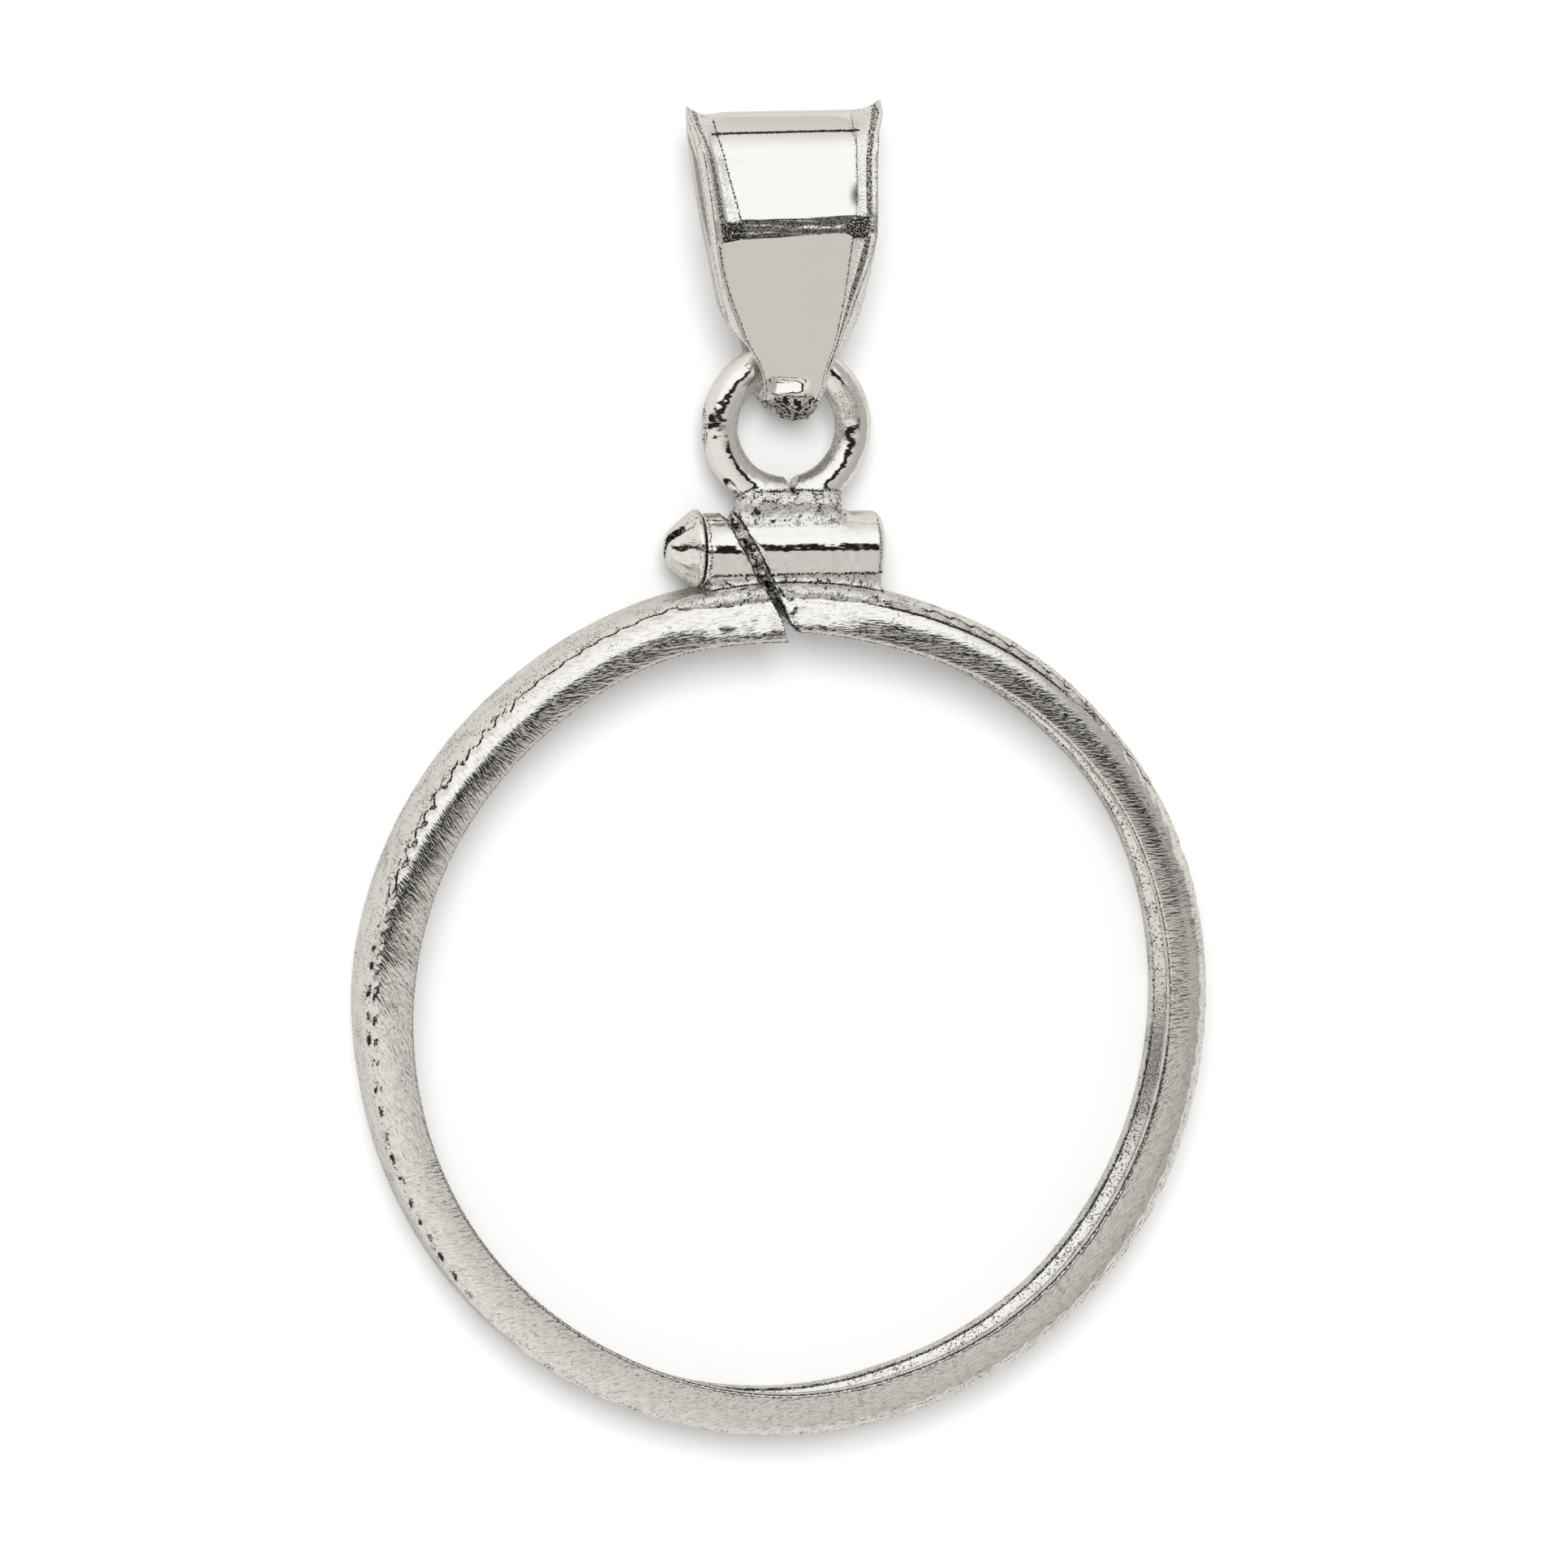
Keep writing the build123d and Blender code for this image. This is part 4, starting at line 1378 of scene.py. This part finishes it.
# Tapered bail, a strip along its side profile with the same columns at every station
def build_tapered_bail(bezel):
    ring, bail = (in_millimetres(g) for g in (bezel.ring, bezel.bail))
    profile = bail_profile(bail, STRIP_STEP)
    line, normals, rise, marks, bottom, top, crease, fold = profile
    h0, d0 = line[:, 0], line[:, 1]
    plate_left, plate_right, strip, inner, on_upper = bail_widths(bail, profile)
    # Beside the eye's wire the left side is drawn in, so that the bail can swing
    tuck = 0.26 * smooth_step(1.3, 0.55, h0) * smooth_step(-1.1, -0.6, h0)
    # The walls lean in towards the rims, most below the crease, and flare to points on top
    near_top = smooth_step(fold - 0.8, top, h0)
    draft = bail.wall_draft + 0.24 * smooth_step(crease - 0.3, crease - 2.6, h0)
    draft = draft * smooth_step(bottom + 0.3, bottom + 2.0, h0) * (1 - near_top)
    columns = bail_columns()
    rows, chart = [], []
    for kind, s, side in columns:
        edge = plate_left - 0.15 * tuck if side < 0 else plate_right
        drawn = tuck * (side < 0 or s < 0)
        outline, hollow = strip - drawn, inner - drawn
        rim_out = np.maximum(outline - draft, edge + 0.12 - 0.3 * drawn)
        rim_width = np.minimum(bail.rim_width, 0.4 * (rim_out - edge))
        rim_in = rim_out - rim_width * (1 - 0.75 * near_top)
        if kind == "plate":
            # The upper facet curls up along its right edge
            curl = on_upper * (side > 0) * 0.12 * smooth_step(0.72, 1.12, s) * (1 - near_top)
            curl = curl * smooth_step(crease + 0.2, crease + 1.4, h0)
            x, lift = s * edge, curl
        elif kind == "slope":
            # A flat strip beside the plate, then a steep rise to the rim; one curve on top
            stepped = 0.2 * s**2 + 0.8 * smooth_step(0.55, 1.0, s)
            x = edge + s * (rim_in - edge)
            lift = rise * (stepped + near_top * (s**2.2 - stepped))
        elif kind == "rim":
            x, lift = rim_in + s * (rim_out - rim_in), rise * (1 + 0.03 * (1 - abs(2 * s - 1)))
        elif kind == "wall":
            bulge = 0.35 * smooth_step(0.75, 1.0, s) * (1 - near_top)
            bulge = smooth_step(0.0, 0.45, s) - bulge
            x = rim_out + (np.maximum(outline, hollow) - rim_out) * bulge
            lift = rise - (rise + bail.wall) * s
        else:
            x, lift = s * hollow, 0 * edge - bail.wall
        x = x * side
        rows.append(np.stack([x, h0 + normals[:, 0] * lift, d0 + normals[:, 1] * lift], 1))
        chart.append(np.stack([x, marks + 0 * x], 1))
    count = len(columns)
    flat = np.stack(rows, 1).reshape(-1, 3)
    kind_of, share_of, side_of = (np.tile(part, len(line)) for part in zip(*columns))
    h, x, d = flat[:, 1], flat[:, 0], flat[:, 2]
    front = smooth_step(-0.1, 0.3, d)
    outer = np.isin(kind_of, ("plate", "slope", "rim"))
    on_plate, on_slope = kind_of == "plate", kind_of == "slope"
    # Ripples along the crease, crumpled corners beside it, and soft waves in the plates
    off_crease = np.abs(h - crease)
    band = smooth_step(bail.crease_band * 0.6, bail.crease_band * 0.42, off_crease)
    along = np.stack([x * 0.7, h * 9 + 0.3 * np.sin(x * 2), d * 0], 1)
    ripple = (lumps(along, 51) + 0.6 * lumps(along * (3, 2, 1), 52)) * 0.0065 * band * on_plate
    off_corner = np.abs(h - crease + 0.1)
    corner = smooth_step(bail.crease_band * 0.85, bail.crease_band * 0.5, off_corner)
    corner = corner * on_slope * smooth_step(1.0, 0.75, share_of)
    crumple = rough_lumps(np.stack([x * 7, h * 8, d * 2], 1), 2, 53) * 0.03 * corner
    soft = rough_lumps(np.stack([x * 0.5, h * 0.4, d], 1), 2, 57) * 0.004
    edges = rough_lumps(flat * 3.4, 2, 59) * 0.006 * np.isin(kind_of, ("wall", "rim"))
    # Pressed oval and cast grain at the tip
    scoop = np.exp(-(((x + 0.17) / 0.5) ** 6 + ((h + 0.62 + 0.12 * x) / 0.25) ** 6)) * (d > 0.3)
    under = smooth_step(bottom + 1.2, bottom + 1.0, h + 0.1 * (x / 0.6) ** 2)
    grain = rough_lumps(flat * 4.6, 2, 63) * 0.046 * under
    shift = front * outer * (ripple + crumple + soft) + edges * (0.4 + 0.6 * front)
    shift = shift + grain * outer - 0.62 * scoop * np.clip(h + 0.87, 0, 0.5) * outer
    outward = np.stack([0 * normals[:, 0], normals[:, 0], normals[:, 1]], 1)
    flat = flat + np.repeat(outward, count, axis=0) * shift[:, None]
    # The tip's lower edge rises to the left, and so does the top
    at_tip = smooth_step(bottom + 1.0, bottom + 0.1, flat[:, 1])
    flat[:, 1] += bail.tip_slant * (smooth_step(0.25, -0.85, flat[:, 0]) * at_tip)
    flat[:, 0] -= 0.15 * smooth_step(-0.6, -1.2, flat[:, 1]) * smooth_step(0.4, 0.9, flat[:, 0])
    flat[:, 1] -= 0.03 * flat[:, 0] * smooth_step(fold - 1.2, top, flat[:, 1])
    # The points at both ends of the top are not alike
    at_top = smooth_step(top - 0.7, top, flat[:, 1])
    flat[:, 1] -= 0.1 * at_top * smooth_step(1.6, 2.6, -flat[:, 0])
    flat[:, 0] += 0.18 * at_top * smooth_step(1.6, 2.6, flat[:, 0])
    faces = grid_quads(len(line), count, wrap_columns=True, wrap_rows=True)[:, ::-1]
    regions = np.isin(kind_of, ("wall", "inside"))
    metals = [silver(name, bezel.finish) for name in ("bail_silver", "bail_wall_silver")]
    looks = ("bail", "bail_silver", metals, regions, radians(40))
    piece = add_piece("tapered_bail", lay_bail(ring, bail, flat), faces, *looks)
    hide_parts("bail")
    add_chart(piece, np.stack(chart, 1).reshape(-1, 2)[corner_vertices(piece)])
    # Dark lines of painted shade and painted dark reflections: plate edges, both edges of the rims,
    # the fold, the crease and the tip, whose underside is painted darker among real cast specks
    # The plate's edge is painted darker below the crease and on the left side
    darker = (h < crease) | (side_of < 0)
    plate_edge = (on_plate & (share_of == 1)) * front * (0.85 + 0.15 * darker)
    rim_edge = (on_slope & (share_of > 0.6) & (share_of < 0.95)) * 0.85
    rim_edge = np.maximum(rim_edge, ((kind_of == "rim") & (share_of == 1)) * 1.0)
    wall_foot = ((kind_of == "wall") & (np.abs(share_of - 0.5) < 0.1)) * 1.0
    at_fold = bell(h - fold, 0.045) * (d > 0)
    at_fold = at_fold * (on_plate | (on_slope & (share_of < 0.3)))
    crease_dark = band * on_plate * front
    # The pressed oval's painted dark outline stands in for a dark reflection
    oval_edge = bell(scoop - 0.12, 0.08) * (scoop > 0.01)
    specks = rough_lumps(flat * 11, 2, 64)
    grime = np.maximum.reduce(
        [
            0.6 * plate_edge,
            0.62 * rim_edge,
            0.56 * wall_foot,
            0.8 * at_fold,
            0.46 * crease_dark,
            0.6 * corner * front,
            0.8 * oval_edge,
            0.4 * under * outer * (scoop < 0.1),
            0.78 * under * outer * (scoop < 0.2) * smooth_step(0.06, 0.26, specks),
        ]
    )
    add_mark(piece, "grime", grime)
    coarse = [under * (scoop < 0.3), corner, 0.28 * on_slope, 0.6 * (kind_of == "rim")]
    add_mark(piece, "coarse", np.maximum.reduce(coarse))


# Middle of the ring and the point that the camera is aimed at, in millimetres
RING_CENTRE = (0, 0, 1.5)
AIM = (0.06, 6.86, 1.5)
SENSOR_WIDTH = 36

# Strength of the white sky, and the soft lamp's width and place in metres and its watts
SKY_STRENGTH = 0.7
LAMP_WIDTH, LAMP_PLACE, LAMP_POWER = 0.34, (-0.12, 0.24, 0.66), 3.3


# Pale floor. Glossy rays see it darker, as if the table were grey beyond the white paper
def build_floor(studio, floor_size):
    half = floor_size / 2 * MM
    mesh = bpy.data.meshes.new("floor")
    corners = [(-half, -half, 0), (half, -half, 0), (half, half, 0), (-half, half, 0)]
    mesh.from_pydata(corners, [], [(0, 1, 2, 3)])
    floor = add_object("floor", mesh)
    paper = bpy.data.materials.new("pale_floor")
    paper.use_nodes = True
    tree = paper.node_tree
    shader = tree.nodes["Principled BSDF"]
    glossy = add_node(tree, "ShaderNodeLightPath").outputs["Is Glossy Ray"]
    plain, mirrored = (*studio.floor_tone, 1), (*studio.mirrored_tone, 1)
    feed(tree, shader.inputs["Base Color"], mix_colours(tree, glossy, plain, mirrored))
    shader.inputs["Roughness"].default_value = 0.9
    shader.inputs["Specular IOR Level"].default_value = 0.2
    mesh.materials.append(paper)


# Camera, aimed so that the ring's centre falls where the picture shows it
def build_camera(scene, sizes):
    across = sin(sizes.tilt)
    direction = Vector(
        (across * sin(sizes.heading), across * cos(sizes.heading), cos(sizes.tilt))
    )
    place = Vector(RING_CENTRE) + direction * sizes.camera_distance
    backward = (place - Vector(AIM)).normalized()
    right = Vector((0, 1, 0)).cross(backward).normalized()
    up = backward.cross(right)
    turn = Matrix((right, up, backward)).transposed().to_4x4()
    data = bpy.data.cameras.new("camera")
    data.sensor_width = SENSOR_WIDTH
    data.lens = SENSOR_WIDTH * sizes.camera_distance / sizes.frame_width
    data.clip_start, data.clip_end = 0.01, 10
    camera = add_object("camera", data)
    camera.matrix_world = Matrix.Translation(place * MM) @ turn
    scene.camera = camera
    scene.view_settings.view_transform = "Standard"


# Sky that the silver mirrors: a white panel towards the bail that fades near the floor and at
# its sides, warm grey towards the ring and beyond the panel, and a dark gap between the two
def build_sky(scene, warmth):
    world = bpy.data.worlds.new("studio")
    scene.world = world
    world.use_nodes = True
    tree = world.node_tree
    tree.nodes.clear()
    out = add_node(tree, "ShaderNodeOutputWorld")
    around = add_node(tree, "ShaderNodeTexCoord")
    parts = add_node(tree, "ShaderNodeSeparateXYZ", {0: around.outputs["Generated"]})
    east, north, up = (parts.outputs[axis] for axis in "XYZ")
    range_of_grey = {"From Min": -0.3, "From Max": 0.7, "To Min": 0.8, "To Max": 0.45}
    grey = add_node(tree, "ShaderNodeMapRange", {"Value": east, **range_of_grey}).outputs[0]
    gap = ramp_node(tree, north, -0.1, -0.02)
    for way, low, high in ((north, 0.25, 0.14), (east, 0.68, 0.45)):
        gap = times(tree, gap, ramp_node(tree, way, low, high))
    panel = ramp_node(tree, north, 0.14, 0.25)
    for way, low, high in ((up, -0.05, 0.85), (east, -0.92, -0.68), (east, 0.66, 0.42)):
        panel = times(tree, panel, ramp_node(tree, way, low, high))
    black, white = (0, 0, 0, 1), (1, 1, 1, 1)
    dim = mix_colours(tree, grey, black, (*warmth, 1))
    dim = mix_colours(tree, times(tree, gap, 0.98), dim, black)
    level = mix_colours(tree, panel, dim, white)
    panels = add_node(tree, "ShaderNodeBackground", {"Color": level, "Strength": 1.0})
    plain = add_node(tree, "ShaderNodeBackground", {"Color": white, "Strength": SKY_STRENGTH})
    glossy = add_node(tree, "ShaderNodeLightPath").outputs["Is Glossy Ray"]
    inputs = {0: glossy, 1: plain.outputs[0], 2: panels.outputs[0]}
    mix = add_node(tree, "ShaderNodeMixShader", inputs)
    tree.links.new(mix.outputs[0], out.inputs["Surface"])


# Soft lamp that gives the floor the rest of its light and the shadows
def build_lamp():
    lamp = bpy.data.lights.new("softbox", "AREA")
    lamp.shape = "DISK"
    lamp.size = LAMP_WIDTH
    lamp.energy = LAMP_POWER
    box = add_object("softbox", lamp)
    spot = Vector(LAMP_PLACE)
    turn = spot.to_track_quat("Z", "Y").to_matrix().to_4x4()
    box.matrix_world = Matrix.Translation(spot) @ turn
    box.visible_glossy = False


class OBJECT_OT_channel_ring(bpy.types.Operator):
    """Make the channel ring with its brushed face, polished shoulder and beaded edge"""

    bl_idname = "object.bezel_channel_ring"
    bl_label = "Channel Ring"

    def execute(self, context):
        build_channel_ring(context.scene.coin_bezel)
        return {"FINISHED"}


class OBJECT_OT_barrel_and_eye(bpy.types.Operator):
    """Make the split barrel, the wire eye and the solder that joins them to the ring"""

    bl_idname = "object.bezel_barrel_and_eye"
    bl_label = "Barrel and Eye"

    def execute(self, context):
        build_barrel_and_eye(context.scene.coin_bezel)
        return {"FINISHED"}


class OBJECT_OT_closing_screw(bpy.types.Operator):
    """Make the closing screw with its domed, slotted head"""

    bl_idname = "object.bezel_closing_screw"
    bl_label = "Closing Screw"

    def execute(self, context):
        build_closing_screw(context.scene.coin_bezel)
        return {"FINISHED"}


class OBJECT_OT_tapered_bail(bpy.types.Operator):
    """Make the tapered bail, a folded strip with raised rims"""

    bl_idname = "object.bezel_tapered_bail"
    bl_label = "Tapered Bail"

    def execute(self, context):
        build_tapered_bail(context.scene.coin_bezel)
        return {"FINISHED"}


class SCENE_OT_bezel_studio(bpy.types.Operator):
    """Lay the bezel on a pale floor under soft light, with the camera above it"""

    bl_idname = "scene.bezel_studio"
    bl_label = "Studio"

    def execute(self, context):
        studio = context.scene.coin_bezel.studio
        sizes = in_millimetres(studio)
        build_floor(studio, sizes.floor_size)
        build_camera(context.scene, sizes)
        build_sky(context.scene, studio.warmth)
        build_lamp()
        return {"FINISHED"}


OPERATORS = (
    OBJECT_OT_channel_ring,
    OBJECT_OT_barrel_and_eye,
    OBJECT_OT_closing_screw,
    OBJECT_OT_tapered_bail,
    SCENE_OT_bezel_studio,
)


class VIEW3D_PT_coin_bezel(bpy.types.Panel):
    """Buttons and sizes of the coin bezel"""

    bl_idname = "VIEW3D_PT_coin_bezel"
    bl_label = "Coin Bezel"
    bl_space_type = "VIEW_3D"
    bl_region_type = "UI"
    bl_category = "Coin Bezel"

    def draw(self, context):
        for operator in OPERATORS:
            self.layout.operator(operator.bl_idname)
        for name, group in context.scene.coin_bezel.bl_rna.properties.items():
            if group.type == "POINTER":
                box = self.layout.box()
                box.label(text=group.name)
                part = getattr(context.scene.coin_bezel, name)
                for size in part.bl_rna.properties.keys():
                    if size not in ("rna_type", "name"):
                        box.prop(part, size)


CLASSES = (
    RingSizes,
    CutSizes,
    BarrelSizes,
    EyeSizes,
    ScrewSizes,
    BailSizes,
    SilverFinish,
    StudioSizes,
    CoinBezel,
    *OPERATORS,
    VIEW3D_PT_coin_bezel,
)


def register():
    for item in CLASSES:
        bpy.utils.register_class(item)
    bpy.types.Scene.coin_bezel = PointerProperty(type=CoinBezel)


def unregister():
    del bpy.types.Scene.coin_bezel
    for item in reversed(CLASSES):
        bpy.utils.unregister_class(item)


def main():
    register()
    bpy.ops.object.bezel_channel_ring()
    bpy.ops.object.bezel_barrel_and_eye()
    bpy.ops.object.bezel_closing_screw()
    bpy.ops.object.bezel_tapered_bail()
    bpy.ops.scene.bezel_studio()
    bezel_parts = [bpy.data.objects[name] for name in ("channel_ring", "barrel_and_eye")]
    for piece in bezel_parts:
        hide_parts("bezel")


if __name__ == "__main__":
    main()
